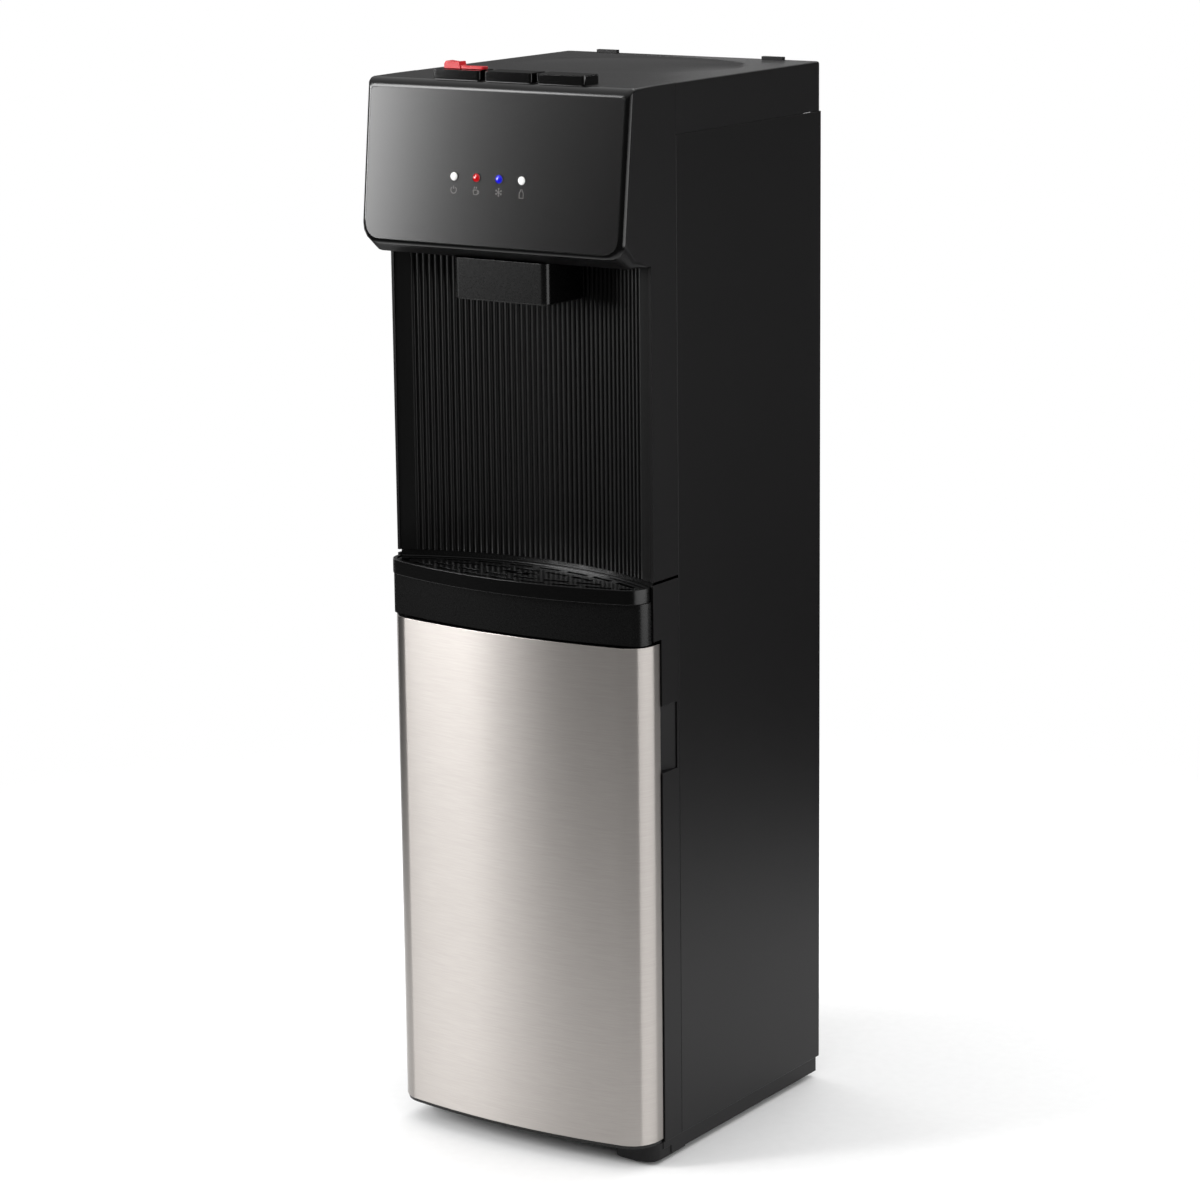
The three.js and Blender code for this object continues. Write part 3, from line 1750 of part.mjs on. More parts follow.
const cabinet = new THREE.Group();
cabinet.position.y = seamY;
cabinet.add(
  part("base_pan", basePan(), "blackMoulding"),
  part("foot_front_left", foot(leftFootX, leftFootY, lugBottom - seat), "rubber"),
  part("foot_front_right", foot(footX, frontFootY, lugBottom - seat), "rubber"),
  part("foot_rear_left", foot(-footX, rearFootY, railBottom - seat), "rubber"),
  part("foot_rear_right", foot(footX, rearFootY, railBottom - seat), "rubber"),
  part("side_panel_left", sidePanel(-1), "blackSteel"),
  part("side_panel_right", sidePanel(1), "blackSteel"),
  part("back_panel", backPanel(), "blackSteel"),
  part("lower_front_frame", lowerFrontFrame(), "blackMoulding"),
  part("tray_housing", trayHousing(), "deepBlack"),
  part("door_magnet", doorMagnet(), "deepBlack"),
  part("upper_hinge_pin", upperHingePin(), "plainSteel"),
  part("lower_hinge_pin", lowerHingePin(), "plainSteel"),
  part("bottle_bay_liner", bottleBayLiner(), "deepBlack"),
  part("bottle_platform", bottlePlatform(), "blackMoulding"),
  part("mid_deck", midDeck(), "plainSteel"),
  part("probe_hook", probeHook(), "deepBlack"),
  part("probe_cap", probeCap(), "greyPlastic"),
  part("probe_tube", probeTube(), "plainSteel"),
  part("supply_hose", supplyHose(), "silicone"),
  part("bulkhead_fitting", bulkheadFitting(), "greyPlastic"),
  part("pump", pump(), "greyPlastic"),
  part("compressor", compressor(), "deepBlack"),
  part("filter_dryer", filterDryer(), "copper"),
  part("tank_shelf", tankShelf(), "plainSteel"),
  part("cold_tank", coldTank(), "plainSteel"),
  part("cold_tank_insulation", coldTankInsulation(), "foam"),
  part("hot_tank", hotTank(), "plainSteel"),
  part("hot_tank_insulation", hotTankInsulation(), "foam"),
  part("power_board", powerBoard(), "circuitBoard"),
  part("condenser", condenser(), "deepBlack"),
  part("cold_line", coldLine(), "silicone"),
  part("hot_line", hotLine(), "silicone"),
  part("mains_gland", mainsGland(), "rubber"),
  part("drain_fitting", drainFitting(), "greyPlastic"),
  part("drain_cap", drainCap(), "deepBlack"),
  part("switch_plate", switchPlate(), "deepBlack"),
  part("hot_switch", rocker(0), "redPlastic"),
  part("cold_switch", rocker(1), "greenPlastic"),
);

const tray = new THREE.Group();
tray.add(part("drip_tray", dripTray(), "deepBlack"), part("drip_grille", dripGrille(), "deepBlack"));

const door = new THREE.Group();
door.add(
  part("door_skin", doorSkinPanel(), "brushedSteel"),
  part("door_inner", doorInner(), "deepBlack"),
  part("strike_plate", strikePlate(), "plainSteel"),
);
cabinet.add(tray, door);

const head = new THREE.Group();
head.position.set(0, seamY, deckHeight);
head.add(
  part("upper_front_frame", upperFrontFrame(), "blackMoulding"),
  part("top_cover", topCover(), "blackMoulding"),
  part("alcove_liner", alcoveLiner(), "deepBlack"),
  part("spout_housing", spoutHousing(), "deepBlack"),
  part("water_nozzle", waterNozzle(), "deepBlack"),
  part("hot_button", hotButton(), "glossBlack"),
  part("room_button", pushButton(1), "glossBlack"),
  part("cold_button", pushButton(2), "glossBlack"),
  part("child_lock", childLock(), "redPlastic"),
  part("button_switch_board", buttonSwitchBoard(), "circuitBoard"),
);

const fascia = new THREE.Group();
fascia.position.set(0, -headReach, -fasciaDrop);
fascia.rotation.x = Math.PI / 2 - lean;
fascia.add(
  part("fascia_panel", fasciaPanel(), "glossBlack"),
  part("indicator_board", indicatorBoard(), "circuitBoard"),
  part("power_lens", lens(0), "clearLens"),
  part("hot_lens", lens(1), "redLens"),
  part("cold_lens", lens(2), "blueLens"),
  part("bottle_lens", lens(3), "clearLens"),
);
head.add(fascia);

cooler.add(cabinet, head);

export default cooler;
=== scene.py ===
import math

import bmesh
import bpy
from mathutils import Matrix, Vector


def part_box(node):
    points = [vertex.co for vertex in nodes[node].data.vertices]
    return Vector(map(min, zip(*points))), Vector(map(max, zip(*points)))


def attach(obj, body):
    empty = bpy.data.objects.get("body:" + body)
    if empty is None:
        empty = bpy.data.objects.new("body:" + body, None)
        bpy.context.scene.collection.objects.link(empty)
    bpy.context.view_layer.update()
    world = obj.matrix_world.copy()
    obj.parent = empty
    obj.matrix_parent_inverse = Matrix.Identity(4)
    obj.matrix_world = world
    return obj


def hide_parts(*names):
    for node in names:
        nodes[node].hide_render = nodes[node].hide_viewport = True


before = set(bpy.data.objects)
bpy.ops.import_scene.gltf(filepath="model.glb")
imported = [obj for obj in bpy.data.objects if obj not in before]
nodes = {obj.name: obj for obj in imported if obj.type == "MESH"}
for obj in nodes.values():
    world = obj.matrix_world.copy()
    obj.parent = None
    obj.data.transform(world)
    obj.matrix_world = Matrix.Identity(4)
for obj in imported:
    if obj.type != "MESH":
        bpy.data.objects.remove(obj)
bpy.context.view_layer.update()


# ---- Studio ----
# A round sheet of white paper lies on the floor and fades out into a white room. Two softboxes
# and a dim strip light it from the left, a wide strip from the right, and two more softboxes
# from behind and from overhead.


def to_linear(colour):
    """An sRGB hex colour as linear red, green, blue and alpha."""
    parts = [int(colour[i : i + 2], 16) / 255 for i in (1, 3, 5)]
    return [c / 12.92 if c <= 0.04045 else ((c + 0.055) / 1.055) ** 2.4 for c in parts] + [1.0]


def add_node(tree, kind, values=None, **settings):
    """Adds a node with its settings. Each value, a number or another node's output, fills the
    input of its name."""
    made = tree.nodes.new(kind)
    for name, value in settings.items():
        setattr(made, name, value)
    for name, value in (values or {}).items():
        if isinstance(value, bpy.types.NodeSocket):
            tree.links.new(value, made.inputs[name])
        else:
            made.inputs[name].default_value = value
    return made


def object_of(name, mesh):
    """A new object in the scene."""
    made = bpy.data.objects.new(name, mesh)
    bpy.context.scene.collection.objects.link(made)
    return made


paper = bpy.data.materials.new("matt_coated_paper")
paper.use_nodes = True
paper_shader = paper.node_tree.nodes["Principled BSDF"]
paper_place = add_node(paper.node_tree, "ShaderNodeTexCoord")
paper_fibre = add_node(
    paper.node_tree,
    "ShaderNodeTexNoise",
    {"Vector": paper_place.outputs["Object"], "Scale": 90.0, "Detail": 4.0},
)
paper_tone = add_node(
    paper.node_tree,
    "ShaderNodeMix",
    {
        "Factor": paper_fibre.outputs["Fac"],
        "A": to_linear("#ececec"),
        "B": to_linear("#f2f2f2"),
    },
    data_type="RGBA",
)
paper.node_tree.links.new(paper_tone.outputs[2], paper_shader.inputs["Base Color"])
paper_shader.inputs["Roughness"].default_value = 0.9
paper_shader.inputs["Specular IOR Level"].default_value = 0.2
# The sheet fades out between these distances from the object.
fade_start, fade_end = 0.55, 1.5
paper_reach = add_node(
    paper.node_tree,
    "ShaderNodeVectorMath",
    {0: paper_place.outputs["Object"]},
    operation="LENGTH",
)
paper_fade = add_node(
    paper.node_tree,
    "ShaderNodeMapRange",
    {"Value": paper_reach.outputs["Value"], "From Min": fade_start, "From Max": fade_end},
    interpolation_type="SMOOTHSTEP",
)
paper_mix = add_node(
    paper.node_tree,
    "ShaderNodeMixShader",
    {
        0: paper_fade.outputs["Result"],
        1: paper_shader.outputs["BSDF"],
        2: add_node(paper.node_tree, "ShaderNodeBsdfTransparent").outputs["BSDF"],
    },
)
paper.node_tree.links.new(
    paper_mix.outputs["Shader"], paper.node_tree.nodes["Material Output"].inputs["Surface"]
)

floor_half = 3
floor_signs = ((-1, -1), (1, -1), (1, 1), (-1, 1))
floor_corners = [(x * floor_half, y * floor_half, 0) for x, y in floor_signs]
floor_mesh = bpy.data.meshes.new("paper_floor")
floor_mesh.from_pydata(floor_corners, [], [(0, 1, 2, 3)])
floor_mesh.materials.append(paper)
floor = object_of("paper_floor", floor_mesh)


def softbox(name, azimuth, distance, height, wide, tall, glow, aim):
    """An area light of this radiance that stands this far from the object and faces it."""
    light = bpy.data.lights.new(name, "AREA")
    light.shape = "RECTANGLE"
    light.size = wide
    light.size_y = tall
    light.energy = glow * math.pi * wide * tall
    turn = math.radians(azimuth)
    place = Vector((distance * math.sin(turn), -distance * math.cos(turn), height))
    lamp = object_of(name, light)
    lamp.location = place
    lamp.rotation_euler = (Vector(aim) - place).to_track_quat("-Z", "Y").to_euler()
    lamp.visible_camera = False


# Each lamp's azimuth in degrees from the front, its distance and height, how wide and tall its
# face is, its radiance, and the height on the object's axis that it faces.
for lamp, turn, distance, height, wide, tall, glow, aim_height in (
    ("left_softbox", -48.5, 2.9, 1.2, 1.15, 0.7, 20.5, 1.0),
    ("high_softbox", -38.0, 2.6, 1.9, 0.44, 0.8, 22.0, 0.3),
    ("left_edge_strip", -118, 2.5, 0.85, 1.3, 1.5, 1.6, 0.85),
    ("right_strip", 97, 2.4, 0.5, 3.0, 1.0, 3.4, 0.5),
    ("rear_softbox", 190, 2.4, 0.7, 1.8, 1.2, 2.2, 0.6),
    ("overhead_softbox", 170, 1.8, 3.0, 2.4, 1.6, 1.5, 0.9),
):
    softbox(lamp, turn, distance, height, wide, tall, glow, (0, 0, aim_height))

# The room is dim along the walls and bright overhead, and white where the camera looks past the
# paper.
wall_glow, overhead_glow = 0.07, 1.35
room = bpy.data.worlds.new("studio_room")
room.use_nodes = True
room_tree = room.node_tree
room_sight = add_node(room_tree, "ShaderNodeTexCoord")
room_axes = add_node(
    room_tree, "ShaderNodeSeparateXYZ", {"Vector": room_sight.outputs["Generated"]}
)
room_level = add_node(
    room_tree,
    "ShaderNodeMapRange",
    {
        "Value": room_axes.outputs["Z"],
        "From Min": 0.15,
        "From Max": 0.9,
        "To Min": wall_glow,
        "To Max": overhead_glow,
    },
)
room_light = add_node(
    room_tree,
    "ShaderNodeBackground",
    {"Color": to_linear("#fafafa"), "Strength": room_level.outputs["Result"]},
)
room_back = add_node(
    room_tree, "ShaderNodeBackground", {"Color": to_linear("#ffffff"), "Strength": 1.0}
)
room_choice = add_node(
    room_tree,
    "ShaderNodeMixShader",
    {
        0: add_node(room_tree, "ShaderNodeLightPath").outputs["Is Camera Ray"],
        1: room_light.outputs["Background"],
        2: room_back.outputs["Background"],
    },
)
room_tree.links.new(
    room_choice.outputs["Shader"], room_tree.nodes["World Output"].inputs["Surface"]
)
bpy.context.scene.world = room
bpy.context.scene.view_settings.view_transform = "Standard"

# The camera that took the photograph, worked out from the cabinet's edges.
camera_place = (2.0528, -3.0517, 1.3593)
azimuth, elevation, roll = (math.radians(turn) for turn in (33.907, 12.778, -0.627))
focal_pixels, frame_pixels = 3791.1, 1200.0
lens = bpy.data.cameras.new("photograph_camera")
lens.sensor_width = 36.0
lens.lens = lens.sensor_width * focal_pixels / frame_pixels
lens.clip_end = 100.0
camera = object_of("photograph_camera", lens)
back = Vector(
    (
        math.sin(azimuth) * math.cos(elevation),
        -math.cos(azimuth) * math.cos(elevation),
        math.sin(elevation),
    )
)
right = Vector((math.cos(azimuth), math.sin(azimuth), 0))
up = back.cross(right)
across = math.cos(roll) * right + math.sin(roll) * up
upward = -math.sin(roll) * right + math.cos(roll) * up
camera.matrix_world = Matrix(
    (
        (across.x, upward.x, back.x, camera_place[0]),
        (across.y, upward.y, back.y, camera_place[1]),
        (across.z, upward.z, back.z, camera_place[2]),
        (0, 0, 0, 1),
    )
)
bpy.context.scene.camera = camera


# ---- Base pan and feet ----
# The pan under the cabinet is moulded in black ABS. Two lugs reach forward over the front feet,
# and the door's lower pin stands in a tongue on the left one. The rubber feet are pressed in.


def moulded_plastic(name, colour, roughness, grain, relief, shine=0.5, clouds=0.08):
    """A moulded plastic whose fine texture has this grain and relief, both in metres."""
    material = bpy.data.materials.new(name)
    material.use_nodes = True
    tree = material.node_tree
    shader = tree.nodes["Principled BSDF"]
    place = add_node(tree, "ShaderNodeTexCoord")
    speckle = add_node(
        tree,
        "ShaderNodeTexNoise",
        {"Vector": place.outputs["Object"], "Scale": 1 / grain, "Detail": 3.0},
    )
    # Faint clouds of light and dark, about 9 cm across.
    flow = add_node(
        tree,
        "ShaderNodeTexNoise",
        {"Vector": place.outputs["Object"], "Scale": 11.0, "Detail": 2.0},
    )
    light = add_node(
        tree,
        "ShaderNodeMapRange",
        {
            "Value": flow.outputs["Fac"],
            "From Min": 0.3,
            "From Max": 0.7,
            "To Min": 1.0 - clouds,
            "To Max": 1.0 + clouds,
        },
    )
    tone = add_node(
        tree,
        "ShaderNodeVectorMath",
        {0: to_linear(colour)[:3], "Scale": light.outputs["Result"]},
        operation="SCALE",
    )
    polish = add_node(
        tree,
        "ShaderNodeMapRange",
        {
            "Value": speckle.outputs["Fac"],
            "From Min": 0.25,
            "From Max": 0.75,
            "To Min": roughness * 0.9,
            "To Max": roughness * 1.1,
        },
    )
    bump = add_node(
        tree,
        "ShaderNodeBump",
        {"Height": speckle.outputs["Fac"], "Distance": relief, "Strength": 1.0},
    )
    tree.links.new(tone.outputs["Vector"], shader.inputs["Base Color"])
    tree.links.new(polish.outputs["Result"], shader.inputs["Roughness"])
    tree.links.new(bump.outputs["Normal"], shader.inputs["Normal"])
    shader.inputs["Specular IOR Level"].default_value = shine
    return material


def dress(name, material):
    """Gives a CAD node its material, in every slot."""
    mesh = nodes[name].data
    mesh.materials.clear()
    mesh.materials.append(material)
    for face in mesh.polygons:
        face.material_index = 0


def smooth_by_angle(mesh, crease):
    """Smooths a mesh over every edge that bends less than the crease, in degrees."""
    shape = bmesh.new()
    shape.from_mesh(mesh)
    for face in shape.faces:
        face.smooth = True
    for edge in shape.edges:
        edge.smooth = len(edge.link_faces) == 2 and edge.calc_face_angle(0) < math.radians(crease)
    shape.to_mesh(mesh)
    shape.free()


def rounded_copy(name, body, material, radius, crease=35):
    """A merged copy of a CAD node whose edges are rounded. It stands for that node."""
    mesh = nodes[name].data.copy()
    mesh.name = name + "_moulding"
    shape = bmesh.new()
    shape.from_mesh(mesh)
    bmesh.ops.remove_doubles(shape, verts=shape.verts, dist=2e-6)
    bmesh.ops.dissolve_limit(
        shape, angle_limit=math.radians(0.6), verts=shape.verts, edges=shape.edges
    )
    for face in shape.faces:
        face.material_index = 0
    shape.to_mesh(mesh)
    shape.free()
    smooth_by_angle(mesh, crease)
    mesh.materials.clear()
    mesh.materials.append(material)
    piece = object_of(name + "_moulding", mesh)
    if radius:
        rounding = piece.modifiers.new("rounding", "BEVEL")
        rounding.width = radius
        rounding.segments = 3
        rounding.limit_method = "ANGLE"
        rounding.angle_limit = math.radians(crease)
        rounding.harden_normals = True
        rounding.use_clamp_overlap = True
        flats = piece.modifiers.new("flats", "WEIGHTED_NORMAL")
        flats.mode = "FACE_AREA"
        flats.weight = 90
        flats.keep_sharp = True
    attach(piece, body)
    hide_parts(name)
    return piece


# Fine spark-eroded texture: a soft, even sheen with no clear reflection.
textured_abs = moulded_plastic(
    "textured_black_abs", "#0d0c0d", roughness=0.38, grain=0.0011, relief=8e-6, shine=0.19
)
# Vulcanised rubber: dull and a little dusty.
vulcanised_rubber = moulded_plastic(
    "vulcanised_rubber", "#141414", roughness=0.75, grain=0.0016, relief=3e-5, shine=0.3
)

base = rounded_copy("base_pan", "cabinet", textured_abs, radius=0.0018)
for corner in ("front_left", "front_right", "rear_left", "rear_right"):
    pad = rounded_copy("foot_" + corner, "cabinet", vulcanised_rubber, radius=0.0006)


# ---- Side and back panels ----
# Cold-rolled sheet steel 1.2 mm thick, folded in at both edges and powder coated in a black
# with a very fine orange-peel texture. The back sheet is vented and stands in from the edge.

# Baked polyester powder: satin black, broken up by shallow peel about 2 mm across.
powder_coat = moulded_plastic(
    "powder_coated_steel",
    "#0c0b0c",
    roughness=0.34,
    grain=0.0016,
    relief=8e-6,
    shine=0.2,
    clouds=0.05,
)
for name in ("side_panel_left", "side_panel_right"):
    panel = rounded_copy(name, "cabinet", powder_coat, radius=0.0007)
back_sheet = rounded_copy("back_panel", "cabinet", powder_coat, radius=0.0004)


def grow(name, tree, values, start, crease=40):
    """Grows a piece from a start mesh or curve with a Geometry Nodes tree, as a plain mesh."""
    seed = object_of(name + "_start", start)
    growth = seed.modifiers.new("growth", "NODES")
    growth.node_group = tree
    for item in tree.interface.items_tree:
        if item.in_out == "INPUT" and item.name in values:
            growth[item.identifier] = values[item.name]
    grown = seed.evaluated_get(bpy.context.evaluated_depsgraph_get())
    mesh = bpy.data.meshes.new_from_object(grown)
    mesh.name = name
    seed.modifiers.clear()
    bpy.data.objects.remove(seed)
    smooth_by_angle(mesh, crease)
    return object_of(name, mesh)


def points_mesh(name, points):
    """A mesh of loose points, in metres."""
    mesh = bpy.data.meshes.new(name)
    mesh.from_pydata(points, [], [])
    return mesh


def growth_tree(name, numbers):
    """An empty tree with a geometry input, these number inputs and a geometry output."""
    tree = bpy.data.node_groups.new(name, "GeometryNodeTree")
    tree.interface.new_socket("Geometry", in_out="INPUT", socket_type="NodeSocketGeometry")
    for label, value in numbers.items():
        kind = "NodeSocketInt" if isinstance(value, int) else "NodeSocketFloat"
        socket = tree.interface.new_socket(label, in_out="INPUT", socket_type=kind)
        socket.default_value = value
    tree.interface.new_socket("Geometry", in_out="OUTPUT", socket_type="NodeSocketGeometry")
    return tree, tree.nodes.new("NodeGroupInput").outputs, tree.nodes.new("NodeGroupOutput")


def end_tree(tree, out, geometry, material):
    """Ends a tree with real geometry in its material."""
    real = add_node(tree, "GeometryNodeRealizeInstances", {"Geometry": geometry})
    finish = add_node(
        tree,
        "GeometryNodeSetMaterial",
        {"Geometry": real.outputs["Geometry"], "Material": material},
    )
    tree.links.new(finish.outputs["Geometry"], out.inputs["Geometry"])


def bare_metal(name, colour, roughness, grain):
    """A bare metal with fine rolling or drawing marks of this grain, in metres."""
    material = bpy.data.materials.new(name)
    material.use_nodes = True
    tree = material.node_tree
    shader = tree.nodes["Principled BSDF"]
    place = add_node(tree, "ShaderNodeTexCoord")
    marks = add_node(
        tree,
        "ShaderNodeTexNoise",
        {"Vector": place.outputs["Object"], "Scale": 1 / grain, "Detail": 4.0},
    )
    tone = add_node(
        tree,
        "ShaderNodeMix",
        {
            "Factor": marks.outputs["Fac"],
            "A": [c * 0.86 for c in to_linear(colour)[:3]] + [1.0],
            "B": to_linear(colour),
        },
        data_type="RGBA",
    )
    polish = add_node(
        tree,
        "ShaderNodeMapRange",
        {"Value": marks.outputs["Fac"], "To Min": roughness * 0.75, "To Max": roughness * 1.25},
    )
    tree.links.new(tone.outputs[2], shader.inputs["Base Color"])
    tree.links.new(polish.outputs["Result"], shader.inputs["Roughness"])
    shader.inputs["Metallic"].default_value = 1.0
    return material


# Pan-head screws of blackened steel, 7 mm across with a cross recess, each turned at random.
blackened_steel = bare_metal("blackened_screw_steel", "#3c3b3d", roughness=0.36, grain=0.001)
screw_sizes = {"Radius": 0.0035, "Height": 0.0019, "Seed": 7}
recess_size, recess_height = (0.0038, 0.0008, 0.0022), 0.0021
facing_back, full_turn = -math.pi / 2, 6.28
screw_tree, screw_in, screw_out = growth_tree("pan_head_screws", screw_sizes)
screw_size = add_node(
    screw_tree,
    "ShaderNodeCombineXYZ",
    {"X": screw_in["Radius"], "Y": screw_in["Radius"], "Z": screw_in["Height"]},
)
screw_head = add_node(
    screw_tree,
    "GeometryNodeTransform",
    {
        "Geometry": add_node(
            screw_tree, "GeometryNodeMeshUVSphere", {"Segments": 20, "Rings": 10, "Radius": 1.0}
        ).outputs["Mesh"],
        "Scale": screw_size.outputs["Vector"],
    },
)
screw_blades = [
    add_node(
        screw_tree,
        "GeometryNodeTransform",
        {
            "Geometry": add_node(
                screw_tree, "GeometryNodeMeshCube", {"Size": recess_size}
            ).outputs["Mesh"],
            "Translation": (0, 0, recess_height),
            "Rotation": (0, 0, turn),
        },
    )
    for turn in (0.0, math.pi / 2)
]
screw_cut = add_node(
    screw_tree,
    "GeometryNodeMeshBoolean",
    {"Mesh 1": screw_head.outputs["Geometry"]},
    operation="DIFFERENCE",
    solver="EXACT",
)
for blade in screw_blades:
    screw_tree.links.new(blade.outputs["Geometry"], screw_cut.inputs["Mesh 2"])
screw_turn = add_node(
    screw_tree,
    "FunctionNodeRandomValue",
    {"Min": (facing_back, 0, 0), "Max": (facing_back, full_turn, 0), "Seed": screw_in["Seed"]},
    data_type="FLOAT_VECTOR",
)
screw_points = add_node(
    screw_tree, "GeometryNodeMeshToPoints", {"Mesh": screw_in["Geometry"], "Radius": 0.001}
)
screw_set = add_node(
    screw_tree,
    "GeometryNodeInstanceOnPoints",
    {
        "Points": screw_points.outputs["Points"],
        "Instance": screw_cut.outputs["Mesh"],
        "Rotation": screw_turn.outputs["Value"],
    },
)
end_tree(screw_tree, screw_out, screw_set.outputs["Instances"], blackened_steel)
# The sheet lies this far in from its folded edges, and the screws this far in from its sides.
fold_depth, screw_inset = 0.0092, 0.008
sheet_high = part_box("back_panel")[1]
screw_places = [
    (side * (sheet_high[0] - screw_inset), sheet_high[1] - fold_depth, height)
    for side in (-1, 1)
    for height in (0.045, 0.27, 0.5, 0.73, 0.975)
]
screws = grow(
    "back_panel_screws", screw_tree, screw_sizes, points_mesh("screw_places", screw_places)
)
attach(screws, "cabinet")


# ---- Lower front frame and bottle bay ----
# The frame round the door is textured ABS, with a finger pocket in its right-hand strip.
# The bay behind it is a vacuum-formed polystyrene tub with a low moulded guide for the bottle.

frame_below = rounded_copy("lower_front_frame", "cabinet", textured_abs, radius=0.0008)
# Vacuum-formed sheet: smooth and softly glossy, a little uneven.
formed_polystyrene = moulded_plastic(
    "formed_polystyrene", "#1b1b1c", roughness=0.36, grain=0.004, relief=2e-5, shine=0.5
)
bay = rounded_copy("bottle_bay_liner", "cabinet", formed_polystyrene, radius=0.0012)
guide = rounded_copy("bottle_platform", "cabinet", textured_abs, radius=0.0012)
# Sintered ferrite: dull dark grey.
sintered_ferrite = moulded_plastic(
    "sintered_ferrite", "#2a2829", roughness=0.6, grain=0.0009, relief=1e-5, shine=0.4
)
dress("door_magnet", sintered_ferrite)
# Zinc-plated steel: pale, bluish and softly bright.
zinc_plate = bare_metal("zinc_plated_steel", "#b4b6b9", roughness=0.34, grain=0.003)
for name in ("upper_hinge_pin", "lower_hinge_pin"):
    dress(name, zinc_plate)


# ---- Bottle probe ----
# The cap closes the bottle's neck and carries a stainless suction tube. It hangs on a fork on
# the bay's back wall, and a short silicone hose leads up to a fitting in the deck above.

# Injected polypropylene: milky grey-white with a waxy sheen.
polypropylene = moulded_plastic(
    "grey_polypropylene", "#c3c6c7", roughness=0.4, grain=0.003, relief=1e-5, shine=0.5
)
# Drawn stainless tube.
drawn_stainless = bare_metal("drawn_stainless_tube", "#bdbcba", roughness=0.24, grain=0.002)
# Cured silicone: slightly cloudy and soft to look at.
silicone_hose = moulded_plastic(
    "cured_silicone", "#cfd5d8", roughness=0.35, grain=0.003, relief=1e-5, shine=0.5
)
rounded_copy("probe_hook", "cabinet", textured_abs, radius=0.0008)
rounded_copy("probe_cap", "cabinet", polypropylene, radius=0.001)
rounded_copy("probe_tube", "cabinet", drawn_stainless, radius=0.0004)
rounded_copy("supply_hose", "cabinet", silicone_hose, radius=0)
dress("bulkhead_fitting", polypropylene)


# ---- Machinery above the bay ----
# A galvanised deck carries the pump, the hermetic compressor and the filter dryer. The shelf
# over it, folded down along both sides, carries the chilled and the heated tank in their jackets.

galvanised = bare_metal("galvanised_sheet", "#a4a8ab", roughness=0.42, grain=0.012)
for name in ("mid_deck", "tank_shelf"):
    dress(name, galvanised)
# Deep-drawn stainless steel.
for name in ("cold_tank", "hot_tank"):
    dress(name, drawn_stainless)
dress("pump", polypropylene)
# Alkyd enamel over a pressed steel shell.
alkyd_enamel = moulded_plastic(
    "black_alkyd_enamel", "#121213", roughness=0.3, grain=0.006, relief=3e-5, shine=0.5
)
dress("compressor", alkyd_enamel)
dress("filter_dryer", bare_metal("spun_copper", "#b06f4a", roughness=0.32, grain=0.004))
# Expanded polystyrene: beads about 4 mm across. The heated tank's jacket has the same look.
bead_foam = moulded_plastic(
    "expanded_polystyrene", "#dedbd0", roughness=0.85, grain=0.004, relief=0.0003, shine=0.3
)
for name in ("cold_tank_insulation", "hot_tank_insulation"):
    dress(name, bead_foam)
# Epoxy glass laminate under a green solder mask.
glass_epoxy = moulded_plastic(
    "glass_epoxy_board", "#1d5436", roughness=0.4, grain=0.0015, relief=1e-5, shine=0.5
)
for name in ("power_board", "indicator_board", "button_switch_board"):
    dress(name, glass_epoxy)
for name in ("cold_line", "hot_line"):
    dress(name, silicone_hose)


# ---- Tray housing, drip tray and grille ----
# The band over the door is one moulding with the well that the tray drops into. Tray and
# grille lift out. All three are ABS, polished on the rim and plainer below.

# Polished ABS: dark with clear, slightly soft reflections.
polished_abs = moulded_plastic(
    "polished_black_abs", "#050505", roughness=0.2, grain=0.0016, relief=3e-6, shine=0.35
)
# Plain tool finish.
satin_abs = moulded_plastic(
    "satin_black_abs", "#070707", roughness=0.28, grain=0.0012, relief=2e-6, shine=0.33
)
housing = rounded_copy("tray_housing", "cabinet", satin_abs, radius=0)
# The basin's corners come so close to the band's face that they break it. The face is made whole
# there, between these distances from the middle, and the basin's wall is set back behind it.
break_start, break_end, wall_set_back = 0.12, 0.1305, 0.0003
band_face, band_foot, basin_middle = -0.149, 0.53, 0.55
shape = bmesh.new()
shape.from_mesh(housing.data)
for side in (-1, 1):
    basin_wall = [
        vertex
        for vertex in shape.verts
        if break_start < side * vertex.co.x < break_end
        and vertex.co.y < band_face
        and vertex.co.z > band_foot
    ]
    cut = sorted(basin_wall, key=lambda vertex: (vertex.co.z, side * vertex.co.x))
    low_inner, low_outer = [vertex for vertex in cut if vertex.co.z < basin_middle][:2]
    high_inner, high_outer = [vertex for vertex in cut if vertex.co.z > basin_middle][:2]
    # The faces of the band's front that the basin breaks, and their corners out on the front.
    broken = [face for face in low_inner.link_faces if face.normal.y < -0.9]
    ends = [
        vertex
        for face in broken
        for vertex in face.verts
        if vertex not in (low_inner, low_outer, high_inner, high_outer)
    ]
    ends = sorted(set(ends), key=lambda vertex: (vertex.co.z, side * vertex.co.x))
    bmesh.ops.delete(shape, geom=broken, context="FACES_ONLY")
    shape.faces.new([ends[0], ends[1], ends[3], ends[2]])
    shape.faces.new([low_inner, low_outer, high_outer, high_inner])
    shape.faces.new([ends[2], high_inner, high_outer, ends[3]])
    for vertex in basin_wall:
        vertex.co.y += wall_set_back
bmesh.ops.recalc_face_normals(shape, faces=shape.faces)
shape.to_mesh(housing.data)
shape.free()
smooth_by_angle(housing.data, 35)
rounded_copy("drip_tray", "tray", polished_abs, radius=0.0012)
rounded_copy("drip_grille", "grille", polished_abs, radius=0.0009)


# ---- Door ----
# A bowed sheet of brushed stainless steel wraps the front and the free edge of a moulded ABS
# door. The grain runs across the door, so that highlights stand up it as tall bands.

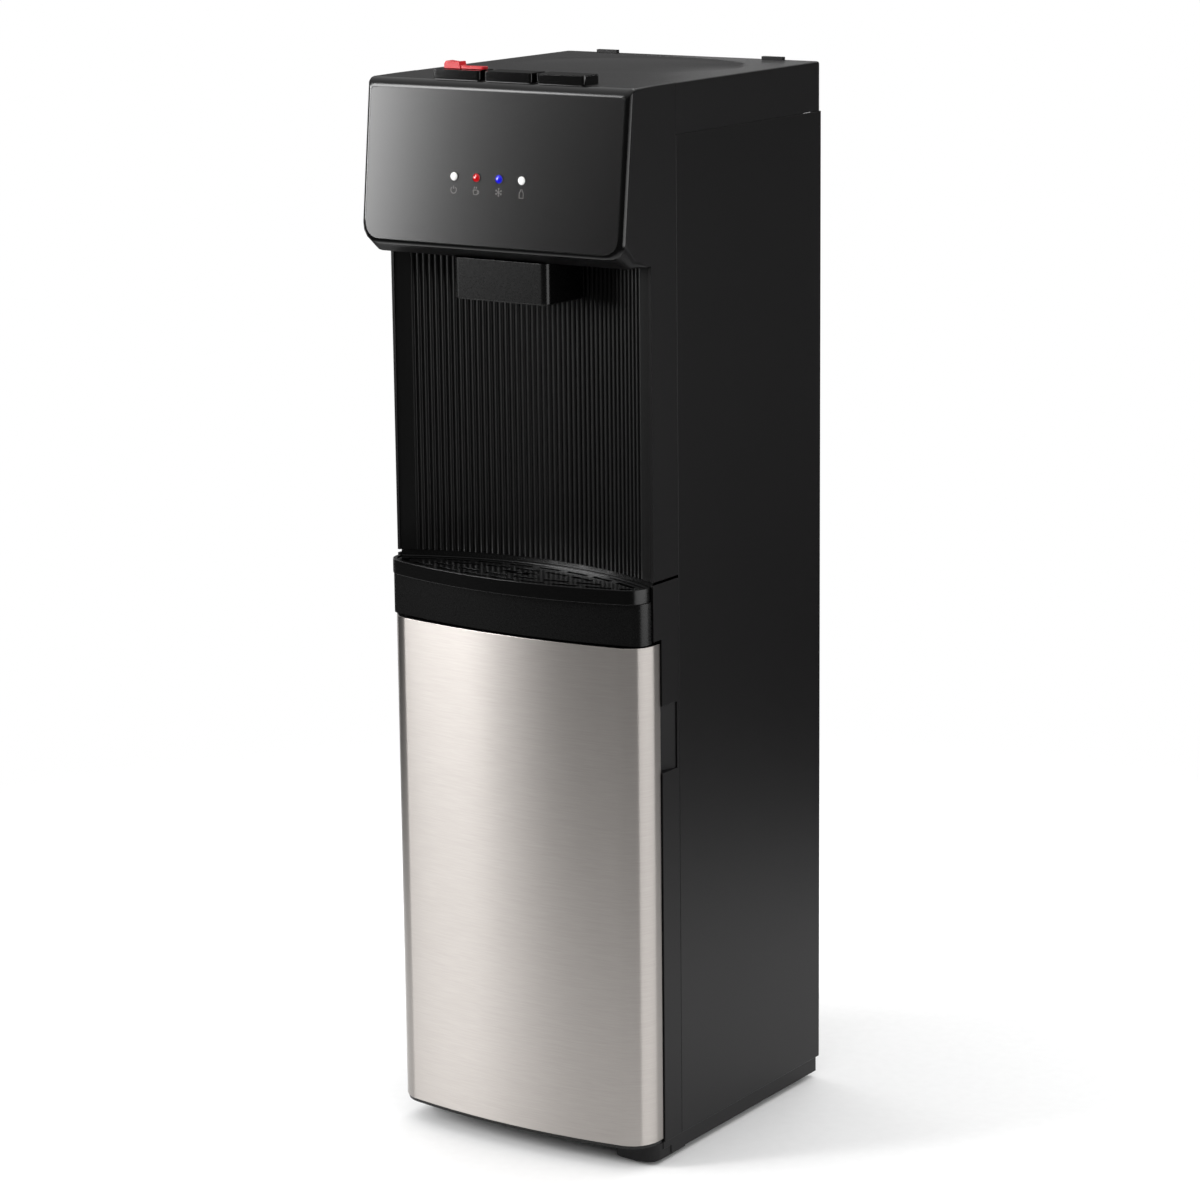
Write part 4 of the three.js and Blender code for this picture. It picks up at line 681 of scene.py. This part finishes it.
brushed = bpy.data.materials.new("brushed_stainless_steel")
brushed.use_nodes = True
brushed_tree = brushed.node_tree
brushed_shader = brushed_tree.nodes["Principled BSDF"]
brushed_place = add_node(brushed_tree, "ShaderNodeTexCoord")
# Scratches this long, this far apart and this deep, coarser than real ones so that they show.
scratch_length, scratch_pitch, scratch_depth = 0.025, 0.0006, 4e-6
grain_stretch = add_node(
    brushed_tree,
    "ShaderNodeMapping",
    {
        "Vector": brushed_place.outputs["Object"],
        "Scale": (1 / scratch_length, 1 / scratch_length, 1 / scratch_pitch),
    },
)
grain = add_node(
    brushed_tree,
    "ShaderNodeTexNoise",
    {"Vector": grain_stretch.outputs["Vector"], "Scale": 1.0, "Detail": 5.0, "Roughness": 0.65},
)
grain_tone = add_node(
    brushed_tree,
    "ShaderNodeMix",
    {"Factor": grain.outputs["Fac"], "A": to_linear("#9c9793"), "B": to_linear("#b3aeaa")},
    data_type="RGBA",
)
grain_polish = add_node(
    brushed_tree,
    "ShaderNodeMapRange",
    {"Value": grain.outputs["Fac"], "To Min": 0.3, "To Max": 0.36},
)
grain_bump = add_node(
    brushed_tree,
    "ShaderNodeBump",
    {"Height": grain.outputs["Fac"], "Distance": scratch_depth, "Strength": 0.35},
)
upright_tangent = add_node(brushed_tree, "ShaderNodeTangent", direction_type="RADIAL", axis="Z")
brushed_tree.links.new(grain_tone.outputs[2], brushed_shader.inputs["Base Color"])
brushed_tree.links.new(grain_polish.outputs["Result"], brushed_shader.inputs["Roughness"])
brushed_tree.links.new(grain_bump.outputs["Normal"], brushed_shader.inputs["Normal"])
brushed_tree.links.new(upright_tangent.outputs["Tangent"], brushed_shader.inputs["Tangent"])
brushed_shader.inputs["Metallic"].default_value = 1.0
brushed_shader.inputs["Anisotropic"].default_value = 0.95
brushed_shader.inputs["Anisotropic Rotation"].default_value = 0.25

rounded_copy("door_skin", "door", brushed, radius=0.0004)
rounded_copy("door_inner", "door", satin_abs, radius=0.001)
dress("strike_plate", zinc_plate)


# ---- Alcove wall ----
# The hollow wall behind the spout is one moulded ABS panel with upright flutes at an even
# 6 mm pitch. Between them stand ribs 3.2 mm wide with slightly rounded crowns.

flute_sizes = {
    "Radius": 0.32568,
    "Centre": -0.42020,
    "Half Width": 0.1522,
    "Bottom": 0.5845,
    "Height": 0.2992,
    "Pitch": 0.006,
    "Rib": 0.0032,
    "Depth": 0.0018,
    "Crown": 0.00055,
    "Fluted Half": 0.1364,
    "Wall": 0.0022,
    "Columns": 610,
}
flute_tree, flute_in, flute_out = growth_tree("fluted_wall", flute_sizes)


def maths(tree, operation, *values):
    """A number worked out from others."""
    made = add_node(tree, "ShaderNodeMath", dict(enumerate(values)), operation=operation)
    return made.outputs["Value"]


def on_arc(radius, turn, height):
    """The place at this radius, turn and height about the wall's upright axis."""
    ahead = maths(flute_tree, "MULTIPLY", radius, maths(flute_tree, "COSINE", turn))
    place = add_node(
        flute_tree,
        "ShaderNodeCombineXYZ",
        {
            "X": maths(flute_tree, "MULTIPLY", radius, maths(flute_tree, "SINE", turn)),
            "Y": maths(flute_tree, "ADD", flute_in["Centre"], ahead),
            "Z": height,
        },
    )
    return place.outputs["Vector"]


flute_grid = add_node(
    flute_tree,
    "GeometryNodeMeshGrid",
    {
        "Size X": maths(flute_tree, "MULTIPLY", flute_in["Half Width"], 2.0),
        "Size Y": flute_in["Height"],
        "Vertices X": flute_in["Columns"],
        "Vertices Y": 2,
    },
)
flute_place = add_node(
    flute_tree,
    "ShaderNodeSeparateXYZ",
    {"Vector": add_node(flute_tree, "GeometryNodeInputPosition").outputs["Position"]},
)
along = flute_place.outputs["X"]
flute_turn = maths(flute_tree, "DIVIDE", along, flute_in["Radius"])
in_pitch = maths(flute_tree, "FRACT", maths(flute_tree, "DIVIDE", along, flute_in["Pitch"]))
from_groove = maths(
    flute_tree,
    "MULTIPLY",
    maths(flute_tree, "MINIMUM", in_pitch, maths(flute_tree, "SUBTRACT", 1.0, in_pitch)),
    flute_in["Pitch"],
)
from_rib = maths(
    flute_tree,
    "SUBTRACT",
    maths(flute_tree, "DIVIDE", flute_in["Pitch"], 2.0),
    from_groove,
)
rib_share = maths(
    flute_tree, "DIVIDE", from_rib, maths(flute_tree, "DIVIDE", flute_in["Rib"], 2.0)
)
crown_fall = maths(
    flute_tree,
    "MULTIPLY",
    maths(flute_tree, "POWER", maths(flute_tree, "MINIMUM", rib_share, 1.0), 2.0),
    flute_in["Crown"],
)
# The side of a groove falls between these shares of the rib's half width.
side_start, side_end = 0.95, 1.3
groove_fall = add_node(
    flute_tree,
    "ShaderNodeMapRange",
    {
        "Value": rib_share,
        "From Min": side_start,
        "From Max": side_end,
        "To Min": 0.0,
        "To Max": flute_in["Depth"],
    },
    interpolation_type="SMOOTHSTEP",
)
is_fluted = maths(
    flute_tree, "LESS_THAN", maths(flute_tree, "ABSOLUTE", along), flute_in["Fluted Half"]
)
fall = maths(
    flute_tree,
    "MULTIPLY",
    maths(flute_tree, "MAXIMUM", crown_fall, groove_fall.outputs["Result"]),
    is_fluted,
)
flute_radius = maths(flute_tree, "ADD", flute_in["Radius"], fall)
flute_height = maths(
    flute_tree,
    "ADD",
    maths(flute_tree, "ADD", flute_place.outputs["Y"], flute_in["Bottom"]),
    maths(flute_tree, "DIVIDE", flute_in["Height"], 2.0),
)
flute_front = add_node(
    flute_tree,
    "GeometryNodeSetPosition",
    {
        "Geometry": flute_grid.outputs["Mesh"],
        "Position": on_arc(flute_radius, flute_turn, flute_height),
    },
)
flute_back = add_node(
    flute_tree,
    "GeometryNodeExtrudeMesh",
    {
        "Mesh": add_node(
            flute_tree, "GeometryNodeFlipFaces", {"Mesh": flute_front.outputs["Geometry"]}
        ).outputs["Mesh"],
        "Offset Scale": 0.0,
        "Individual": False,
    },
)
# The rear face is a plain arc, one wall's thickness behind the crowns.
back_place = add_node(
    flute_tree,
    "ShaderNodeSeparateXYZ",
    {"Vector": add_node(flute_tree, "GeometryNodeInputPosition").outputs["Position"]},
)
back_turn = maths(
    flute_tree,
    "ARCTAN2",
    back_place.outputs["X"],
    maths(flute_tree, "SUBTRACT", back_place.outputs["Y"], flute_in["Centre"]),
)
back_radius = maths(flute_tree, "ADD", flute_in["Radius"], flute_in["Wall"])
flute_rear = add_node(
    flute_tree,
    "GeometryNodeSetPosition",
    {
        "Geometry": flute_back.outputs["Mesh"],
        "Selection": flute_back.outputs["Top"],
        "Position": on_arc(back_radius, back_turn, back_place.outputs["Z"]),
    },
)
flute_shell = add_node(
    flute_tree, "GeometryNodeJoinGeometry", {"Geometry": flute_front.outputs["Geometry"]}
)
flute_tree.links.new(flute_rear.outputs["Geometry"], flute_shell.inputs["Geometry"])
weld_distance = 1e-5
flute_closed = add_node(
    flute_tree,
    "GeometryNodeMergeByDistance",
    {"Geometry": flute_shell.outputs["Geometry"], "Distance": weld_distance},
)
# ABS with a fine etched face, which spreads a soft light round the bow.
etched_abs = moulded_plastic(
    "etched_black_abs", "#040404", roughness=0.36, grain=0.0011, relief=5e-6, shine=0.33
)
end_tree(flute_tree, flute_out, flute_closed.outputs["Geometry"], etched_abs)
fluted_wall = grow(
    "fluted_alcove_wall", flute_tree, flute_sizes, points_mesh("wall_start", []), crease=50
)
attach(fluted_wall, "cabinet")
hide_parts("alcove_liner")


# ---- Head and fascia ----
# The head is one ABS moulding whose front leans back a few degrees. A sheet of hard-coated
# acrylic, printed black from behind, lies flush in it, with four indicator lenses.

head = rounded_copy("upper_front_frame", "cabinet", textured_abs, radius=0.0006, crease=50)
# The head's front leans back by 17 mm in 157 mm. Its rim is polished: from just under the fascia
# up, and this far back from the front, or further on its upper side.
front_lean = math.atan(17 / 157)
fascia_foot = Vector((0, -0.179019, 0.893))
polish_start, polish_depth, polish_depth_above = -0.004, 0.0052, 0.0081
head.data.materials.append(polished_abs)
for face in head.data.polygons:
    height = face.center.z - fascia_foot.z
    depth = face.center.y - fascia_foot.y - height * math.tan(front_lean)
    reach = polish_depth_above if face.normal.z > 0.1 else polish_depth
    if height > polish_start and depth < reach:
        face.material_index = 1
# Hard-coated acrylic: dark, even, and shiny enough to show the studio's light as a soft fade.
hard_acrylic = moulded_plastic(
    "hard_coated_acrylic",
    "#0a0909",
    roughness=0.16,
    grain=0.0012,
    relief=5e-7,
    shine=0.4,
    clouds=0.03,
)
fascia = rounded_copy("fascia_panel", "cabinet", hard_acrylic, radius=0.0005)


def indicator_lens(name, colour, glow):
    """A cast epoxy lens with a lamp behind it, which makes its colour bright without blinding."""
    material = bpy.data.materials.new(name)
    material.use_nodes = True
    tree = material.node_tree
    shader = tree.nodes["Principled BSDF"]
    place = add_node(tree, "ShaderNodeTexCoord")
    cloud = add_node(
        tree,
        "ShaderNodeTexNoise",
        {"Vector": place.outputs["Object"], "Scale": 500.0, "Detail": 1.0},
    )
    tone = add_node(
        tree,
        "ShaderNodeMix",
        {
            "Factor": cloud.outputs["Fac"],
            "A": [c * 0.75 for c in to_linear(colour)[:3]] + [1.0],
            "B": to_linear(colour),
        },
        data_type="RGBA",
    )
    tree.links.new(tone.outputs[2], shader.inputs["Base Color"])
    tree.links.new(tone.outputs[2], shader.inputs["Emission Color"])
    shader.inputs["Emission Strength"].default_value = glow
    shader.inputs["Roughness"].default_value = 0.08
    return material


# The fascia's own frame: across, up its slope, and out of it.
fascia_place = Matrix.Translation(fascia_foot) @ Matrix.Rotation(
    math.pi / 2 - front_lean, 4, "X"
)


def turned_piece(name, profile, centre, place, material):
    """A turned body from its (radius, height) profile, which starts and ends on its axis."""
    sides = 36
    shape = bmesh.new()
    rings = []
    for radius, height in profile:
        if radius == 0:
            rings.append([shape.verts.new((centre[0], centre[1], height))])
            continue
        ring = []
        for step in range(sides):
            turn = 2 * math.pi * step / sides
            ring.append(
                shape.verts.new(
                    (
                        centre[0] + radius * math.cos(turn),
                        centre[1] + radius * math.sin(turn),
                        height,
                    )
                )
            )
        rings.append(ring)
    for lower, upper in zip(rings, rings[1:]):
        for step in range(sides):
            after = (step + 1) % sides
            corners = [lower[step % len(lower)], lower[after % len(lower)]]
            corners += [upper[after % len(upper)], upper[step % len(upper)]]
            shape.faces.new(list(dict.fromkeys(corners)))
    bmesh.ops.recalc_face_normals(shape, faces=shape.faces)
    mesh = bpy.data.meshes.new(name)
    shape.to_mesh(mesh)
    shape.free()
    mesh.transform(place)
    mesh.materials.append(material)
    smooth_by_angle(mesh, 40)
    return object_of(name, mesh)


# Each lens is a stem with a dome that is a little wider than its bore.
stem_radius, stem_depth = 0.0034, 0.0041
dome_radius, dome_foot, dome_edge, dome_rise = 0.004, 0.0001, 0.0003, 0.0015
dome_profile = [(0, -stem_depth), (stem_radius, -stem_depth), (stem_radius, 0.0)]
dome_profile.append((dome_radius, dome_foot))
for degrees in range(0, 90, 10):
    turn = math.radians(degrees)
    dome_profile.append((dome_radius * math.cos(turn), dome_edge + dome_rise * math.sin(turn)))
dome_profile.append((0, dome_edge + dome_rise))
to_fascia = fascia_place.inverted()
lens_centres = []
for name, colour, glow, slot in (
    ("power_lens", "#f6f6f4", 0.3, "clear_lens"),
    ("hot_lens", "#b30a12", 0.35, "red_lens"),
    ("cold_lens", "#1212c8", 0.45, "blue_lens"),
    ("bottle_lens", "#f6f6f4", 0.3, "clear_lens"),
):
    low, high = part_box(name)
    spot = to_fascia @ Vector([(low[axis] + high[axis]) / 2 for axis in range(3)])
    lens_centres.append((spot.x, spot.y))
    dome = turned_piece(
        name + "_dome",
        dome_profile,
        (spot.x, spot.y),
        fascia_place,
        indicator_lens("cast_epoxy_" + name, colour, glow),
    )
    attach(dome, "cabinet")
    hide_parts(name)


def swept(tree, curve, radius, sides, caps=True):
    """A round bar of this radius and number of sides along a curve."""
    circle = add_node(
        tree, "GeometryNodeCurvePrimitiveCircle", {"Resolution": sides, "Radius": radius}
    )
    skin = add_node(
        tree,
        "GeometryNodeCurveToMesh",
        {"Curve": curve, "Profile Curve": circle.outputs["Curve"], "Fill Caps": caps},
    )
    return skin.outputs["Mesh"]


# A black collar, a ring of round section, stands just above the fascia round each dome.
ring_sizes = {"Ring Radius": 0.0044, "Section Radius": 0.00048, "Steps": 40, "Sides": 10}
ring_lift = 0.0002
ring_tree, ring_in, ring_out = growth_tree("lens_collars", ring_sizes)
ring_path = add_node(
    ring_tree,
    "GeometryNodeCurvePrimitiveCircle",
    {"Resolution": ring_in["Steps"], "Radius": ring_in["Ring Radius"]},
)
ring_bar = swept(
    ring_tree,
    ring_path.outputs["Curve"],
    ring_in["Section Radius"],
    ring_in["Sides"],
    caps=False,
)
ring_set = add_node(
    ring_tree,
    "GeometryNodeInstanceOnPoints",
    {"Points": ring_in["Geometry"], "Instance": ring_bar},
)
end_tree(ring_tree, ring_out, ring_set.outputs["Instances"], polished_abs)
collars = grow(
    "lens_collars",
    ring_tree,
    ring_sizes,
    points_mesh("collar_places", [(x, up, ring_lift) for x, up in lens_centres]),
)
collars.data.transform(fascia_place)
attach(collars, "cabinet")

# Screen-printed signs under the lenses in grey ink: power, hot cup, snowflake and bottle.
grey_ink = moulded_plastic(
    "grey_screen_ink", "#8b8886", roughness=0.5, grain=0.0012, relief=2e-6, shine=0.3
)


def sign_arc(x, up, radius, start, end, steps=14):
    """Points along an arc, in millimetres, with its angles in degrees."""
    angles = [math.radians(start + (end - start) * step / steps) for step in range(steps + 1)]
    return [(x + radius * math.cos(turn), up + radius * math.sin(turn)) for turn in angles]


power_sign = [sign_arc(0, -0.3, 2.7, 125, 415), [(0, 0.4), (0, 3.2)]]
cup_sign = [
    [(-2.8, 0.6), (-2.2, -2.9), (1.0, -2.9), (1.6, 0.6), (-2.8, 0.6)],
    sign_arc(1.5, -1.0, 1.3, 80, -100, 8),
    [(-1.7, 1.5), (-2.0, 2.1), (-1.4, 2.7), (-1.7, 3.3)],
    [(0.3, 1.5), (0.0, 2.1), (0.6, 2.7), (0.3, 3.3)],
]
snow_sign = []
for arm in range(6):
    turn = math.radians(30 + 60 * arm)
    ray = (math.cos(turn), math.sin(turn))
    side = (-ray[1], ray[0])
    snow_sign.append([(0.3 * ray[0], 0.3 * ray[1]), (3.4 * ray[0], 3.4 * ray[1])])
    left_tip, right_tip = [
        (3.0 * ray[0] + 0.7 * way * side[0], 3.0 * ray[1] + 0.7 * way * side[1]) for way in (-1, 1)
    ]
    snow_sign.append([left_tip, (2.2 * ray[0], 2.2 * ray[1]), right_tip])
bottle_sign = [
    [(-1.9, -3.3), (-1.9, 0.7), (-0.8, 1.9), (-0.8, 3.2), (0.8, 3.2), (0.8, 1.9), (1.9, 0.7)]
    + [(1.9, -3.3), (-1.9, -3.3)]
]
# The signs are drawn in millimetres, printed a little larger, and stand this far under the lenses.
sign_scale, sign_drop = 0.0012, 0.0122
sign_lines = []
for (x, up), sign in zip(lens_centres, (power_sign, cup_sign, snow_sign, bottle_sign)):
    for line in sign:
        sign_lines.append(
            [
                (x + sign_scale * across, up - sign_drop + sign_scale * rise, 0.0)
                for across, rise in line
            ]
        )


def route(name, lines):
    """A curve object's data with one straight-run spline for each list of points."""
    curve = bpy.data.curves.new(name, "CURVE")
    curve.dimensions = "3D"
    for points in lines:
        spline = curve.splines.new("POLY")
        spline.points.add(len(points) - 1)
        for spot, point in zip(spline.points, points):
            spot.co = (*point, 1.0)
    return curve


ink_sizes = {"Half Width": 0.00024, "Sides": 6}
ink_flatness = 0.25
ink_tree, ink_in, ink_out = growth_tree("printed_lines", ink_sizes)
ink_flat = add_node(
    ink_tree,
    "GeometryNodeTransform",
    {
        "Geometry": swept(ink_tree, ink_in["Geometry"], ink_in["Half Width"], ink_in["Sides"]),
        "Scale": (1.0, 1.0, ink_flatness),
    },
)
end_tree(ink_tree, ink_out, ink_flat.outputs["Geometry"], grey_ink)
signs = grow("fascia_signs", ink_tree, ink_sizes, route("sign_lines", sign_lines))
signs.data.transform(fascia_place)
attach(signs, "cabinet")


# ---- Buttons and child lock ----
# Three gloss ABS caps stand in the deck behind the fascia, each over a stop that holds it in. A
# small red slider sits on the hot water cap, with a key in that cap's slot.

# High-gloss ABS.
gloss_abs = moulded_plastic(
    "gloss_black_abs", "#060606", roughness=0.1, grain=0.002, relief=1e-6, shine=0.5
)
for name in ("hot_button", "room_button", "cold_button"):
    rounded_copy(name, name + "_cap", gloss_abs, radius=0.0007)
# Dyed ABS, bright red.
red_abs = moulded_plastic(
    "red_abs", "#e02a33", roughness=0.25, grain=0.002, relief=4e-6, shine=0.5
)
rounded_copy("child_lock", "lock", red_abs, radius=0.0004)


# ---- Rear cover ----
# A wide lid in the same textured ABS, with a shallow oval dish and two small tabs at its rear.
# Its skirt stands on the side panels and closes the cabinet over the tanks.

rounded_copy("top_cover", "cabinet", textured_abs, radius=0.0008)


# ---- Spout ----
# A satin ABS housing hangs from the alcove's ceiling and hides a stepped, polished nozzle. Both
# water lines come down to the nozzle, which is open at its lower end.

rounded_copy("spout_housing", "cabinet", satin_abs, radius=0.0006)
rounded_copy("water_nozzle", "cabinet", polished_abs, radius=0.0004)


# ---- Rear fittings ----
# Behind the cooler are the steel condenser, the drain with its ABS cap, the rubber cable gland
# and two rocker switches in their plate, all held by the back panel.

# Black wire enamel on steel tube.
wire_enamel = moulded_plastic(
    "black_wire_enamel", "#0f0f10", roughness=0.38, grain=0.004, relief=2e-5, shine=0.5
)
tube_sizes = {"Tube Radius": 0.0024, "Bend": 0.0235, "Bend Steps": 8, "Sides": 12}
tube_tree, tube_in, tube_out = growth_tree("condenser_tube", tube_sizes)
tube_bends = add_node(
    tube_tree,
    "GeometryNodeFilletCurve",
    {
        "Curve": tube_in["Geometry"],
        "Radius": tube_in["Bend"],
        "Count": tube_in["Bend Steps"],
        "Limit Radius": True,
    },
    mode="POLY",
)
tube_bar = swept(
    tube_tree, tube_bends.outputs["Curve"], tube_in["Tube Radius"], tube_in["Sides"]
)
end_tree(tube_tree, tube_out, tube_bar, wire_enamel)
tube_low, tube_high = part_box("condenser")
tube_y = (tube_low[1] + tube_high[1]) / 2
tube_half, tube_top, run_pitch, run_count = 0.112, 0.88, 0.048, 9
tube_course = [(-tube_half, tube_y, tube_top)]
for run in range(run_count):
    height = tube_top - run * run_pitch
    end = -tube_half if run % 2 else tube_half
    tube_course.append((end, tube_y, height))
    if run < run_count - 1:
        tube_course.append((end, tube_y, height - run_pitch))
tube = grow("condenser_tube", tube_tree, tube_sizes, route("condenser_course", [tube_course]))
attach(tube, "cabinet")
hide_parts("condenser")

# Steel wires 1.4 mm thick are spot-welded across both faces of the tube, 6.5 mm apart.
wire_sizes = {
    "Count": 34,
    "Pitch": 0.0065,
    "Length": 0.412,
    "Wire Radius": 0.0007,
    "Reach": 0.0029,
}
wire_middle = 0.688
wire_tree, wire_in, wire_out = growth_tree("condenser_wires", wire_sizes)
wire_rod = add_node(
    wire_tree,
    "GeometryNodeMeshCylinder",
    {
        "Vertices": 6,
        "Side Segments": 1,
        "Fill Segments": 1,
        "Radius": wire_in["Wire Radius"],
        "Depth": wire_in["Length"],
    },
)
wire_rows = add_node(wire_tree, "GeometryNodeJoinGeometry")
wire_step = add_node(
    wire_tree, "ShaderNodeCombineXYZ", {"X": wire_in["Pitch"], "Y": 0.0, "Z": 0.0}
)
for side in (-1.0, 1.0):
    first = add_node(
        wire_tree,
        "ShaderNodeCombineXYZ",
        {
            "X": maths(
                wire_tree,
                "MULTIPLY",
                maths(wire_tree, "MULTIPLY", wire_in["Pitch"], -0.5),
                maths(wire_tree, "SUBTRACT", wire_in["Count"], 1.0),
            ),
            "Y": maths(wire_tree, "MULTIPLY", wire_in["Reach"], side),
            "Z": 0.0,
        },
    )
    row = add_node(
        wire_tree,
        "GeometryNodeMeshLine",
        {
            "Count": wire_in["Count"],
            "Start Location": first.outputs["Vector"],
            "Offset": wire_step.outputs["Vector"],
        },
        mode="OFFSET",
    )
    rods = add_node(
        wire_tree,
        "GeometryNodeInstanceOnPoints",
        {"Points": row.outputs["Mesh"], "Instance": wire_rod.outputs["Mesh"]},
    )
    wire_tree.links.new(rods.outputs["Instances"], wire_rows.inputs["Geometry"])
end_tree(wire_tree, wire_out, wire_rows.outputs["Geometry"], wire_enamel)
wires = grow("condenser_wires", wire_tree, wire_sizes, points_mesh("wire_start", []), crease=70)
wires.data.transform(Matrix.Translation((0, tube_y, wire_middle)))
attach(wires, "cabinet")
dress("mains_gland", vulcanised_rubber)
dress("drain_fitting", polypropylene)
dress("drain_cap", polished_abs)
dress("switch_plate", satin_abs)
dress("hot_switch", red_abs)
# Dyed ABS, green.
green_abs = moulded_plastic(
    "green_abs", "#1d8547", roughness=0.28, grain=0.002, relief=4e-6, shine=0.5
)
dress("cold_switch", green_abs)
